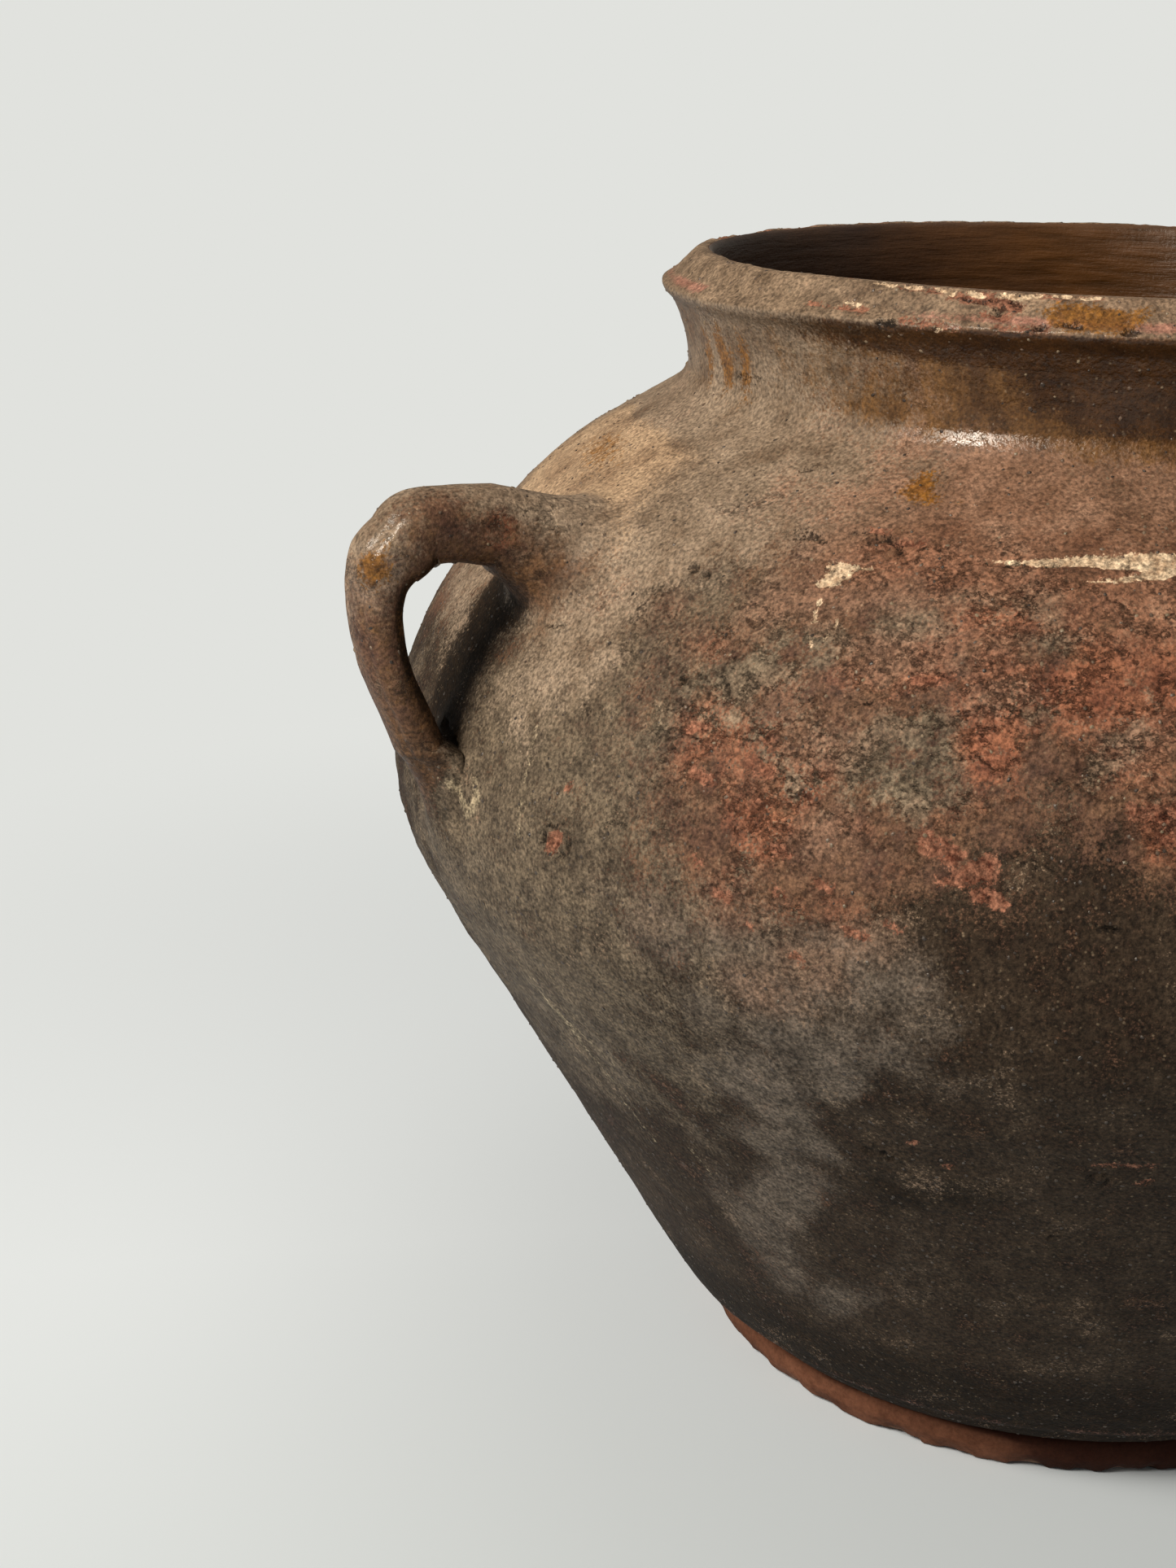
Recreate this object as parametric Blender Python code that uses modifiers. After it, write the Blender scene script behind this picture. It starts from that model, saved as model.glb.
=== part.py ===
"""Twin-handled earthenware storage urn, modelled as a potter assembles it: a floor disc in a
foot ring, a lower and an upper wall section, a neck collar, a bevelled rim band and two pulled
strap handles. Metres, +Z up, origin at the centre of the underside, handles along X."""

import math

import bmesh
import bpy

# Whole vessel
RIM_HEIGHT = 0.300
FIT_GAP = 0.0003
WALL_THICKNESS = 0.0085
TURN_STEPS = 64

# Floor disc and foot ring
WALL_FOOT_RADIUS = 0.1003
FOOT_ROLL_INSET = 0.0011
FOOT_EDGE_INSET = 0.0036
FOOT_RING_WIDTH = 0.0106
FOOT_HEIGHT = 0.0108
FOOT_GROOVE_DEPTH = 0.0018
FLOOR_THICKNESS = 0.0120
FLOOR_LEDGE_WIDTH = 0.0050
FLOOR_LEDGE_HEIGHT = 0.0060

# Belly and shoulder
BELLY_RADIUS = 0.1900
BELLY_SHARE = 0.56
BELLY_JOINT_SHARE = 0.50
SEAM_STEP = 0.0055

# Neck collar
NECK_RADIUS = 0.1125
NECK_SHARE = 0.90
NECK_JOINT_SHARE = 0.8583
NECK_TOP_FLARE = 0.0025

# Rim band
RIM_BAND_DEPTH = 0.0170
RIDGE_OVERHANG = 0.0049
RIDGE_DROP = 0.0095
RIDGE_ROUNDING = 0.0014
CREST_INSET = 0.0105
CREST_ROUNDING = 0.0022
LIP_WIDTH = 0.0049

# Strap handles
HANDLE_LOW_SHARE = 0.59
HANDLE_TOP_SHARE = 0.8107
HANDLE_STANDOFF = 0.0468
STRAP_ROOT_THICKNESS = 0.0202
STRAP_LEG_THICKNESS = 0.0114
STRAP_WIDTH = 0.0200
UPPER_ROOT_SHARE = 0.78
UPPER_ROOT_TALL = 0.0270
UPPER_ROOT_WIDE = 0.0480
LOWER_ROOT_TALL = 0.0260
LOWER_ROOT_WIDE = 0.0270
ROOT_EDGE = 0.0006

# Radii that go with the foot's and the neck's
FOOT_ROLL_RADIUS = WALL_FOOT_RADIUS - FOOT_ROLL_INSET
FOOT_EDGE_RADIUS = FOOT_ROLL_RADIUS - FOOT_EDGE_INSET
FLOOR_RADIUS = FOOT_EDGE_RADIUS - FOOT_RING_WIDTH
RIDGE_RADIUS = NECK_RADIUS + NECK_TOP_FLARE + RIDGE_OVERHANG
CREST_RADIUS = RIDGE_RADIUS - CREST_INSET
MOUTH_RADIUS = CREST_RADIUS - LIP_WIDTH

# Heights that go with the rim's
BELLY_HEIGHT = RIM_HEIGHT * BELLY_SHARE
BELLY_JOINT_HEIGHT = RIM_HEIGHT * BELLY_JOINT_SHARE
NECK_HEIGHT = RIM_HEIGHT * NECK_SHARE
NECK_JOINT_HEIGHT = RIM_HEIGHT * NECK_JOINT_SHARE
RIM_JOINT_HEIGHT = RIM_HEIGHT - RIM_BAND_DEPTH
RIDGE_HEIGHT = RIM_HEIGHT - RIDGE_DROP
HANDLE_LOW_HEIGHT = RIM_HEIGHT * HANDLE_LOW_SHARE
HANDLE_TOP_HEIGHT = RIM_HEIGHT * HANDLE_TOP_SHARE
UPPER_ROOT_HEIGHT = RIM_HEIGHT * UPPER_ROOT_SHARE

# Outline of the wall: shares of the height and of the radius gained between foot and belly
LOWER_SHARES = (
    (0.0, 0.0), (0.03, 0.060), (0.082, 0.142), (0.159, 0.224), (0.312, 0.378), (0.503, 0.574),
    (0.694, 0.770), (0.847, 0.922), (0.924, 0.976), (1.0, 1.0),
)
# The same between belly and neck: shares of the height and of the radius lost
UPPER_SHARES = (
    (0.0, 0.0), (0.118, 0.013), (0.206, 0.043), (0.382, 0.145), (0.544, 0.297), (0.676, 0.444),
    (0.779, 0.594), (0.853, 0.746), (0.912, 0.880), (0.956, 0.964), (1.0, 1.0),
)
# The same between neck and rim joint: shares of the height and of the flare
NECK_SHARES = ((0.0, 0.0), (0.35, 0.08), (0.69, 0.42), (1.0, 1.0))

# Strap centre line, over the top and down the leg: shares of the handle's height and of its
# standoff from the wall, then the thickness as a share between leg and root
STRAP_SHARES = (
    (0.976, 0.558, 1.00), (1.000, 0.786, 0.82), (0.992, 0.966, 0.80), (0.943, 0.985, 0.68),
    (0.890, 1.000, 0.52), (0.787, 0.923, 0.18), (0.657, 0.776, 0.05), (0.491, 0.558, 0.0),
    (0.340, 0.355, 0.0), (0.199, 0.192, 0.0),
)
# Upper root, from the wall outwards: share of the standoff, then how far the section has
# drawn in from the footprint to the strap
UPPER_FLARE_SHARES = (
    (0.0, 0.0), (0.025, 0.28), (0.07, 0.54), (0.14, 0.75), (0.24, 0.90), (0.38, 1.0),
)
# The same section cut along the sloping wall, as a share of the strap's thickness
ROOT_SLANT_SHARE = 0.84
# Lower root, running down the wall: share of the root's height, of its thickness and of its
# width
LOWER_SMEAR_SHARES = (
    (0.43, 0.71, 0.84), (0.24, 0.50, 0.92), (0.07, 0.34, 1.00), (-0.10, 0.21, 0.98),
    (-0.27, 0.10, 0.82), (-0.40, 0.05, 0.50),
)
RING_POINTS = 20
STRAP_RINGS_PER_SPAN = 2
STRAP_SQUARENESS = 2.3

CLAY_BARE = (0.42, 0.17, 0.09, 1.0)
CLAY_SOOTED = (0.055, 0.045, 0.038, 1.0)
CLAY_FILMED = (0.16, 0.11, 0.075, 1.0)
GLAZE_BROWN = (0.13, 0.062, 0.03, 1.0)


def clear_scene():
    for obj in list(bpy.data.objects):
        bpy.data.objects.remove(obj, do_unlink=True)


def make_material(name, colour, roughness):
    mat = bpy.data.materials.new(name)
    mat.use_nodes = True
    shader = mat.node_tree.nodes["Principled BSDF"]
    shader.inputs["Base Color"].default_value = colour
    shader.inputs["Roughness"].default_value = roughness
    shader.inputs["Metallic"].default_value = 0.0
    return mat


def smooth_through(stations, t):
    """A smooth curve through (t, value) stations, with slopes from each station's neighbours."""
    last = len(stations) - 1
    i = max(k for k in range(last) if k == 0 or t >= stations[k][0])

    def slope(k):
        a, b = stations[max(k - 1, 0)], stations[min(k + 1, last)]
        return (b[1] - a[1]) / (b[0] - a[0])

    (t0, v0), (t1, v1) = stations[i], stations[i + 1]
    span = t1 - t0
    u = (t - t0) / span
    u2, u3 = u * u, u * u * u
    return (
        v0 * (2 * u3 - 3 * u2 + 1)
        + v1 * (3 * u2 - 2 * u3)
        + span * (slope(i) * (u3 - 2 * u2 + u) + slope(i + 1) * (u3 - u2))
    )


WALL_START = FOOT_HEIGHT + FIT_GAP
HANDLE_RISE = HANDLE_TOP_HEIGHT - HANDLE_LOW_HEIGHT


def wall_radius(z):
    """Outer radius of the vessel's wall at height z, from the foot to the rim joint."""
    if z <= BELLY_HEIGHT:
        share = (z - WALL_START) / (BELLY_HEIGHT - WALL_START)
        gained = smooth_through(LOWER_SHARES, share)
        return WALL_FOOT_RADIUS + gained * (BELLY_RADIUS - WALL_FOOT_RADIUS)
    if z <= NECK_HEIGHT:
        share = (z - BELLY_HEIGHT) / (NECK_HEIGHT - BELLY_HEIGHT)
        return BELLY_RADIUS - smooth_through(UPPER_SHARES, share) * (BELLY_RADIUS - NECK_RADIUS)
    share = (z - NECK_HEIGHT) / (RIM_JOINT_HEIGHT - NECK_HEIGHT)
    return NECK_RADIUS + smooth_through(NECK_SHARES, share) * NECK_TOP_FLARE


def inner_radius(z):
    """Inner radius at height z, with the wall as thick square to its surface everywhere."""
    reach = WALL_THICKNESS / 8
    low, high = max(z - reach, WALL_START), min(z + reach, RIM_JOINT_HEIGHT)
    slope = (wall_radius(high) - wall_radius(low)) / (high - low)
    return wall_radius(z) - WALL_THICKNESS * math.sqrt(1 + slope * slope)


def heights(low, high, count):
    return [low + (high - low) * i / count for i in range(count + 1)]


def seam_radius(z):
    """Where the step of a lapped seam stands, half way through the wall."""
    return (wall_radius(z) + inner_radius(z)) / 2


def seam_below(z):
    """The end of the section under a seam, from its outer side to its inner side: a ledge, and
    an inner tongue that stands up behind the next section."""
    face = seam_radius(z + SEAM_STEP / 2) - FIT_GAP / 2
    top = z + SEAM_STEP
    return [(face, z), (face, top), (inner_radius(top), top)]


def seam_above(z):
    """The end of the section over the same seam, from its inner side to its outer side."""
    face = seam_radius(z + SEAM_STEP / 2) + FIT_GAP / 2
    top = z + SEAM_STEP + FIT_GAP
    return [(inner_radius(top), top), (face, top), (face, z + FIT_GAP)]


def turned(name, loop, material, collection):
    """A ring or disc turned from its profile. A loop runs down the outer side, then back."""
    mesh = bpy.data.meshes.new(name)
    closed = loop[0][0] > 0
    edges = [(i, i + 1) for i in range(len(loop) - 1)]
    if closed:
        edges.append((len(loop) - 1, 0))
    mesh.from_pydata([(r, 0, z) for r, z in loop], edges, [])
    obj = bpy.data.objects.new(name, mesh)
    collection.objects.link(obj)
    screw = obj.modifiers.new("Turn", "SCREW")
    screw.axis = "Z"
    screw.angle = math.tau
    screw.steps = screw.render_steps = TURN_STEPS
    screw.use_merge_vertices = True
    screw.merge_threshold = 0.00001
    screw.use_smooth_shade = True
    mesh.materials.append(material)
    return obj


def floor_profile():
    outer = FLOOR_RADIUS + FLOOR_LEDGE_WIDTH
    return [
        (0, FLOOR_THICKNESS), (outer, FLOOR_THICKNESS), (outer, FLOOR_LEDGE_HEIGHT),
        (FLOOR_RADIUS, FLOOR_LEDGE_HEIGHT), (FLOOR_RADIUS, 0), (0, 0),
    ]


def foot_profile():
    """The bare clay flange: a soft roll outside, a groove at its top, and a ledge inside that
    carries the floor."""
    edge, roll = FOOT_EDGE_RADIUS, FOOT_ROLL_RADIUS
    seat = FLOOR_RADIUS + FIT_GAP
    ledge = FLOOR_LEDGE_HEIGHT - FIT_GAP
    return [
        (roll - FOOT_GROOVE_DEPTH, FOOT_HEIGHT),
        (roll - FOOT_GROOVE_DEPTH / 3, FOOT_HEIGHT * 0.90),
        (roll, FOOT_HEIGHT * 0.68),
        (roll - (roll - edge) * 0.12, FOOT_HEIGHT * 0.42),
        (edge + (roll - edge) * 0.48, FOOT_HEIGHT * 0.16),
        (edge, 0),
        (seat, 0),
        (seat, ledge),
        (seat + FLOOR_LEDGE_WIDTH, ledge),
        (seat + FLOOR_LEDGE_WIDTH, FOOT_HEIGHT),
    ]


def lower_profile():
    outside = heights(WALL_START, BELLY_JOINT_HEIGHT, 10)
    tongue_top = BELLY_JOINT_HEIGHT + SEAM_STEP
    inside = heights(WALL_START + WALL_THICKNESS, tongue_top, 7)
    beside_floor = FLOOR_RADIUS + FLOOR_LEDGE_WIDTH + FIT_GAP
    lip = FLOOR_THICKNESS + FIT_GAP
    loop = [(wall_radius(z), z) for z in reversed(outside)]
    loop += [(beside_floor, WALL_START), (beside_floor, lip)]
    loop += [(inner_radius(z), z) for z in inside[:-1]]
    return loop + list(reversed(seam_below(BELLY_JOINT_HEIGHT)))


def upper_profile():
    bottom = BELLY_JOINT_HEIGHT + FIT_GAP
    outside = heights(bottom, NECK_JOINT_HEIGHT, 14)
    inside = heights(BELLY_JOINT_HEIGHT + SEAM_STEP, NECK_JOINT_HEIGHT + SEAM_STEP, 9)[1:-1]
    loop = [(wall_radius(z), z) for z in reversed(outside)]
    loop += list(reversed(seam_above(BELLY_JOINT_HEIGHT)))
    loop += [(inner_radius(z), z) for z in inside]
    return loop + list(reversed(seam_below(NECK_JOINT_HEIGHT)))


def neck_profile():
    bottom = NECK_JOINT_HEIGHT + FIT_GAP
    outside = heights(bottom, RIM_JOINT_HEIGHT, 8)
    low_inside = NECK_JOINT_HEIGHT + SEAM_STEP + FIT_GAP
    inside = heights(low_inside, RIM_JOINT_HEIGHT, 3)[1:]
    loop = [(wall_radius(z), z) for z in reversed(outside)]
    loop += list(reversed(seam_above(NECK_JOINT_HEIGHT)))
    return loop + [(min(inner_radius(z), MOUTH_RADIUS), z) for z in inside]


def rim_profile():
    """The folded band: an undercut, a sharp ridge, a steep bevel and a soft crest."""
    bottom = RIM_JOINT_HEIGHT + FIT_GAP
    under = wall_radius(RIM_JOINT_HEIGHT)
    crest_low = RIM_HEIGHT - CREST_ROUNDING
    bevel_in = CREST_RADIUS + CREST_ROUNDING * 0.85
    lip = (CREST_RADIUS - MOUTH_RADIUS) / 2
    return [
        (CREST_RADIUS, RIM_HEIGHT),
        (CREST_RADIUS + CREST_ROUNDING * 0.5, RIM_HEIGHT - CREST_ROUNDING * 0.15),
        (bevel_in + CREST_ROUNDING * 0.4, RIM_HEIGHT - CREST_ROUNDING * 0.7),
        ((bevel_in + RIDGE_RADIUS) / 2 + RIDGE_ROUNDING / 3, (crest_low + RIDGE_HEIGHT) / 2),
        (RIDGE_RADIUS - RIDGE_ROUNDING / 3, RIDGE_HEIGHT + RIDGE_ROUNDING),
        (RIDGE_RADIUS, RIDGE_HEIGHT),
        (RIDGE_RADIUS - RIDGE_ROUNDING / 2, RIDGE_HEIGHT - RIDGE_ROUNDING),
        ((RIDGE_RADIUS + under) / 2 - RIDGE_ROUNDING / 3, (RIDGE_HEIGHT + bottom) / 2),
        (under, bottom),
        (min(inner_radius(RIM_JOINT_HEIGHT), MOUTH_RADIUS), bottom),
        (MOUTH_RADIUS, RIDGE_HEIGHT),
        (MOUTH_RADIUS + lip * 0.25, crest_low),
        (MOUTH_RADIUS + lip, RIM_HEIGHT - CREST_ROUNDING * 0.2),
    ]


def ring_angles():
    return [math.tau * i / RING_POINTS for i in range(RING_POINTS)]


def wall_face(y, z, lift):
    """The point over the wall at sideways place y and height z, lifted off it by lift."""
    radius = wall_radius(z) + FIT_GAP + lift
    return (math.sqrt(radius * radius - y * y), y, z)


def clear_of_wall(point):
    """The point, pushed straight out if it lies nearer the wall than the joint gap."""
    x, y, z = point
    return (max(x, wall_face(y, z, 0)[0]), y, z)


def rounded(value):
    return math.copysign(abs(value) ** (2 / STRAP_SQUARENESS), value)


def strap_ring(centre, along, thick, wide):
    """A section of the strap, square to its run, a rounded oval."""
    cx, cz = centre
    length = math.hypot(*along)
    out_x, out_z = -along[1] / length, along[0] / length
    ring = []
    for angle in ring_angles():
        off = thick / 2 * rounded(math.cos(angle))
        side = wide / 2 * rounded(math.sin(angle))
        ring.append(clear_of_wall((cx + out_x * off, side, cz + out_z * off)))
    return ring


def mixed(one, other, share):
    return [
        tuple(a + (b - a) * share for a, b in zip(p, q)) for p, q in zip(one, other)
    ]


def strap_stations():
    """Centre line points with thickness, from the upper root over the top to the lower root."""
    stations = []
    for up, out, thick in STRAP_SHARES:
        z = HANDLE_LOW_HEIGHT + up * HANDLE_RISE
        size = STRAP_LEG_THICKNESS + thick * (STRAP_ROOT_THICKNESS - STRAP_LEG_THICKNESS)
        stations.append((wall_radius(z) + out * HANDLE_STANDOFF, z, size))
    return stations


def strap_rings():
    stations = strap_stations()
    curves = [[(i, s[k]) for i, s in enumerate(stations)] for k in range(3)]
    count = (len(stations) - 1) * STRAP_RINGS_PER_SPAN
    rings = []
    for i in range(count + 1):
        t = i / STRAP_RINGS_PER_SPAN
        x, z, thick = (smooth_through(curve, t) for curve in curves)
        nudge = 1 / (4 * STRAP_RINGS_PER_SPAN)
        before, after = max(t - nudge, 0), min(t + nudge, len(stations) - 1)
        along = [smooth_through(c, after) - smooth_through(c, before) for c in curves[:2]]
        rings.append(strap_ring((x, z), along, thick, STRAP_WIDTH))
    return rings


def upper_root_rings(first):
    """From the footprint on the shoulder to the strap's first section, as a trumpet flare that
    climbs as it leaves the wall."""
    first_up, first_out, _ = STRAP_SHARES[0]
    climb = HANDLE_LOW_HEIGHT + first_up * HANDLE_RISE - UPPER_ROOT_HEIGHT
    slanted = STRAP_ROOT_THICKNESS * ROOT_SLANT_SHARE
    rings = []
    for out, drawn in UPPER_FLARE_SHARES:
        way = out / first_out
        tall = UPPER_ROOT_TALL + drawn * (slanted - UPPER_ROOT_TALL)
        wide = UPPER_ROOT_WIDE + drawn * (STRAP_WIDTH - UPPER_ROOT_WIDE)
        ring = []
        for angle in ring_angles():
            z = UPPER_ROOT_HEIGHT + way * climb + tall / 2 * rounded(math.cos(angle))
            y = wide / 2 * rounded(math.sin(angle))
            ring.append(wall_face(y, z, out * HANDLE_STANDOFF))
        rings.append(mixed(ring, first, way * way))
    return rings


def lower_root_rings(last):
    """The strap's end smeared down the belly: each section thinner, broad and then drawn in,
    flat against the wall, with hollow sides that run out to a small edge."""
    thick_at_root = max(point[0] - wall_face(point[1], point[2], 0)[0] for point in last)
    rings = []
    for up, thick, wide in LOWER_SMEAR_SHARES:
        z = HANDLE_LOW_HEIGHT + up * LOWER_ROOT_TALL
        bulge = thick * thick_at_root
        ring = []
        for angle in ring_angles():
            height = max(math.cos(angle), 0) ** (1 + 0.6 * (1 - thick))
            lift = height * bulge + ROOT_EDGE * (math.cos(angle) > -0.1)
            y = wide * LOWER_ROOT_WIDE / 2 * math.sin(angle)
            ring.append(wall_face(y, z - 0.4 * lift, lift))
        rings.append(ring)
    rings[0] = [clear_of_wall(p) for p in mixed(rings[0], last, 0.35)]
    return rings


def handle_mesh():
    straps = strap_rings()
    rings = upper_root_rings(straps[0]) + straps + lower_root_rings(straps[-1])
    bm = bmesh.new()
    loops = [[bm.verts.new(p) for p in ring] for ring in rings]
    for one, other in zip(loops, loops[1:]):
        for i in range(RING_POINTS):
            j = (i + 1) % RING_POINTS
            bm.faces.new((one[i], one[j], other[j], other[i]))
    close_on_wall(bm, loops[0])
    bm.faces.new(list(reversed(loops[-1])))
    bmesh.ops.recalc_face_normals(bm, faces=bm.faces)
    mesh = bpy.data.meshes.new("strap_handle")
    bm.to_mesh(mesh)
    bm.free()
    mesh.shade_smooth()
    return mesh


def close_on_wall(bm, loop):
    """Closes the footprint with rings that follow the round wall, so it stays clear of it."""
    middle_z = sum(v.co.z for v in loop) / len(loop)
    outer = loop
    for share in (0.6, 0.25):
        inner = []
        for vert in loop:
            y = vert.co.y * share
            z = middle_z + (vert.co.z - middle_z) * share
            inner.append(bm.verts.new(wall_face(y, z, 0)))
        for i in range(len(loop)):
            j = (i + 1) % len(loop)
            bm.faces.new((outer[i], inner[i], inner[j], outer[j]))
        outer = inner
    hub = bm.verts.new(wall_face(0, middle_z, 0))
    for i in range(len(loop)):
        bm.faces.new((outer[i], hub, outer[(i + 1) % len(loop)]))


def place_handle(name, mesh, turn, collection):
    obj = bpy.data.objects.new(name, mesh)
    obj.rotation_euler.z = turn
    collection.objects.link(obj)
    return obj


def main():
    clear_scene()
    urn = bpy.data.collections.new("twin_handled_urn")
    bpy.context.scene.collection.children.link(urn)
    bare = make_material("bare_terracotta", CLAY_BARE, 0.9)
    sooted = make_material("sooted_earthenware", CLAY_SOOTED, 0.85)
    filmed = make_material("filmed_earthenware", CLAY_FILMED, 0.7)
    glazed = make_material("brown_glaze", GLAZE_BROWN, 0.35)
    turned("floor_disc", floor_profile(), bare, urn)
    turned("foot_ring", foot_profile(), bare, urn)
    turned("lower_wall", lower_profile(), sooted, urn)
    turned("upper_wall", upper_profile(), filmed, urn)
    turned("neck_collar", neck_profile(), glazed, urn)
    turned("rim_band", rim_profile(), filmed, urn)
    mesh = handle_mesh()
    mesh.materials.append(filmed)
    place_handle("right_handle", mesh, 0, urn)
    place_handle("left_handle", mesh, math.pi, urn)


main()
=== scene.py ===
import bmesh
import bpy
import math
import numpy as np
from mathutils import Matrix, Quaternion, Vector


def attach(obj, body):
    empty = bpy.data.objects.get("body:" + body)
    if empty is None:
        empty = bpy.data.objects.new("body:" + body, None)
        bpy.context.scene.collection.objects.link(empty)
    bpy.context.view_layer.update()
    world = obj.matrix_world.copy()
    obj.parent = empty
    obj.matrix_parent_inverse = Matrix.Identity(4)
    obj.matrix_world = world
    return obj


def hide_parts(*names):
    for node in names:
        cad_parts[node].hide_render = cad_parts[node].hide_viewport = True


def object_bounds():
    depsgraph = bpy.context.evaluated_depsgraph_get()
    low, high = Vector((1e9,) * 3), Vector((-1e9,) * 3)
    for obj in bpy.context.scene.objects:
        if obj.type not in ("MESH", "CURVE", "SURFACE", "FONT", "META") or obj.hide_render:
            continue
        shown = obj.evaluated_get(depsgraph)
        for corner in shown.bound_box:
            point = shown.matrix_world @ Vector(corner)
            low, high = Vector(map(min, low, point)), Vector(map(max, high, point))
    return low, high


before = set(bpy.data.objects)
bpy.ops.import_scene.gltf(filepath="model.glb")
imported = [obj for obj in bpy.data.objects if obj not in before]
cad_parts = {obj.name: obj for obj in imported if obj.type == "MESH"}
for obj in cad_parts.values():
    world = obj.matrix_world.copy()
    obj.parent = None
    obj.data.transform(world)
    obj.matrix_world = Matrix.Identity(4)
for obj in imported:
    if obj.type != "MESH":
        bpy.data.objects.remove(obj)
cadLow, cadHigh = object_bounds()
scene = bpy.context.scene
print("frame loaded:", ", ".join(sorted(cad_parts)))


# Small tools

def linear(hexColour):
    # sRGB hex to the linear values that Blender's sockets take
    parts = [int(hexColour[i:i + 2], 16) / 255 for i in (1, 3, 5)]
    return [p / 12.92 if p <= 0.04045 else ((p + 0.055) / 1.055) ** 2.4 for p in parts] + [1.0]


def feed(tree, node, feeds):
    # values or links for a node's sockets, where a colour may be written as hex
    for key, value in feeds.items():
        if isinstance(value, bpy.types.NodeSocket):
            tree.links.new(value, node.inputs[key])
        else:
            isHex = isinstance(value, str) and value.startswith("#")
            node.inputs[key].default_value = linear(value) if isHex else value


def put(tree, kind, feeds=None, out=0, **settings):
    # adds a node and gives back one of its outputs
    node = tree.nodes.new(kind)
    for name, value in settings.items():
        setattr(node, name, value)
    feed(tree, node, feeds or {})
    return node if out is None else node.outputs[out]


def maths(tree, operation, *values):
    return put(tree, "ShaderNodeMath", dict(enumerate(values)), operation=operation)


def times(tree, a, b):
    return maths(tree, "MULTIPLY", a, b)


def timesPlus(tree, a, b, c):
    return maths(tree, "MULTIPLY_ADD", a, b, c)


def centred(tree, pattern):
    # a pattern from 0 to 1 as a swing about 0
    return maths(tree, "SUBTRACT", pattern, 0.5)


def spread(tree, value, low, high, least=0.0, most=1.0, kind="LINEAR"):
    # the span from low to high, spread over least to most
    spans = {"Value": value, "From Min": low, "From Max": high, "To Min": least, "To Max": most}
    return put(tree, "ShaderNodeMapRange", spans, interpolation_type=kind)


def blend(tree, amount, under, over):
    return put(tree, "ShaderNodeMix", {0: amount, 6: under, 7: over}, out=2, data_type="RGBA")


def scaled(tree, vector, amount):
    return put(tree, "ShaderNodeVectorMath", {0: vector, "Scale": amount}, operation="SCALE")


def noise(tree, place, size, detail, roughness=0.5):
    return put(tree, "ShaderNodeTexNoise", {"Vector": place, "Scale": 1 / size, "Detail": detail,
                                            "Roughness": roughness})


def mapped(tree, place, stretch):
    return put(tree, "ShaderNodeMapping", {"Vector": place, "Scale": stretch})


def field(tree, name):
    # one of the fields that are stored on the meshes
    return put(tree, "ShaderNodeAttribute", out="Fac", attribute_name=name)


def bump(tree, height, depth, under=None):
    feeds = {"Height": height, "Distance": depth, "Strength": 1.0}
    return put(tree, "ShaderNodeBump", feeds if under is None else dict(feeds, Normal=under))


def ramp(x, low, high):
    t = np.clip((x - low) / (high - low), 0, 1)
    return t * t * (3 - 2 * t)


def bell(x, middle, width):
    return np.exp(-((x - middle) / width) ** 2)


def turnFrom(degrees, centre):
    # degrees round from a place, from -180 to 180
    return (degrees - centre + 180) % 360 - 180


def fromAxis(at):
    return np.hypot(at[:, 0], at[:, 1])


def latticeNoise(places, size, seed):
    # smooth noise from -1 to 1, the same for the same place, so that neighbouring pieces agree
    p = places / size
    base = np.floor(p).astype(np.int64)
    f = p - base
    f = f * f * (3 - 2 * f)
    total = np.zeros(len(places))
    for corner in range(8):
        step = np.array([corner & 1, corner >> 1 & 1, corner >> 2 & 1])
        n = base + step
        h = (n[:, 0] * 73856093) ^ (n[:, 1] * 19349663) ^ (n[:, 2] * 83492791) ^ (seed * 7919)
        h = ((h ^ (h >> 13)) * 1274126177) & 0x7FFFFFFF
        h = ((h ^ (h >> 15)) * 1103515245 + 12345) & 0x7FFFFFFF
        weight = np.prod(np.where(step, f, 1 - f), axis=1)
        total += weight * ((h >> 8 & 0xFFFF) / 32767.5 - 1)
    return total


def roughNoise(places, size, seed, steps=3):
    return sum(latticeNoise(places, size / 2 ** k, seed + k) / 1.7 ** k for k in range(steps)) / 1.6


def smoothThrough(stations, t):
    # a smooth curve through (t, value) stations
    last = len(stations) - 1
    i = max(k for k in range(last) if k == 0 or t >= stations[k][0])

    def slope(k):
        a, b = stations[max(k - 1, 0)], stations[min(k + 1, last)]
        return (b[1] - a[1]) / (b[0] - a[0])

    (t0, v0), (t1, v1) = stations[i], stations[i + 1]
    span = t1 - t0
    u = (t - t0) / span
    return (v0 * (2 * u ** 3 - 3 * u ** 2 + 1) + v1 * (3 * u ** 2 - 2 * u ** 3)
            + span * (slope(i) * (u ** 3 - 2 * u ** 2 + u) + slope(i + 1) * (u ** 3 - u ** 2)))


def splineThrough(points, spacing=None, steps=None):
    # points or rings on a smooth curve through the given ones, by spacing or by steps between two of them
    pts = np.array(points, float)
    ends = np.concatenate([[2 * pts[0] - pts[1]], pts, [2 * pts[-1] - pts[-2]]])
    rows = [pts[0]]
    for i in range(len(pts) - 1):
        a, b, c, d = ends[i:i + 4]
        count = steps or max(1, round(np.linalg.norm(c - b) / spacing))
        for k in range(1, count + 1):
            u = k / count
            rows.append(0.5 * (2 * b + (c - a) * u + (2 * a - 5 * b + 4 * c - d) * u ** 2
                               + (3 * b - a - 3 * c + d) * u ** 3))
    return np.array(rows)


# Outline of the thrown vessel, the same as the solids', in metres

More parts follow.
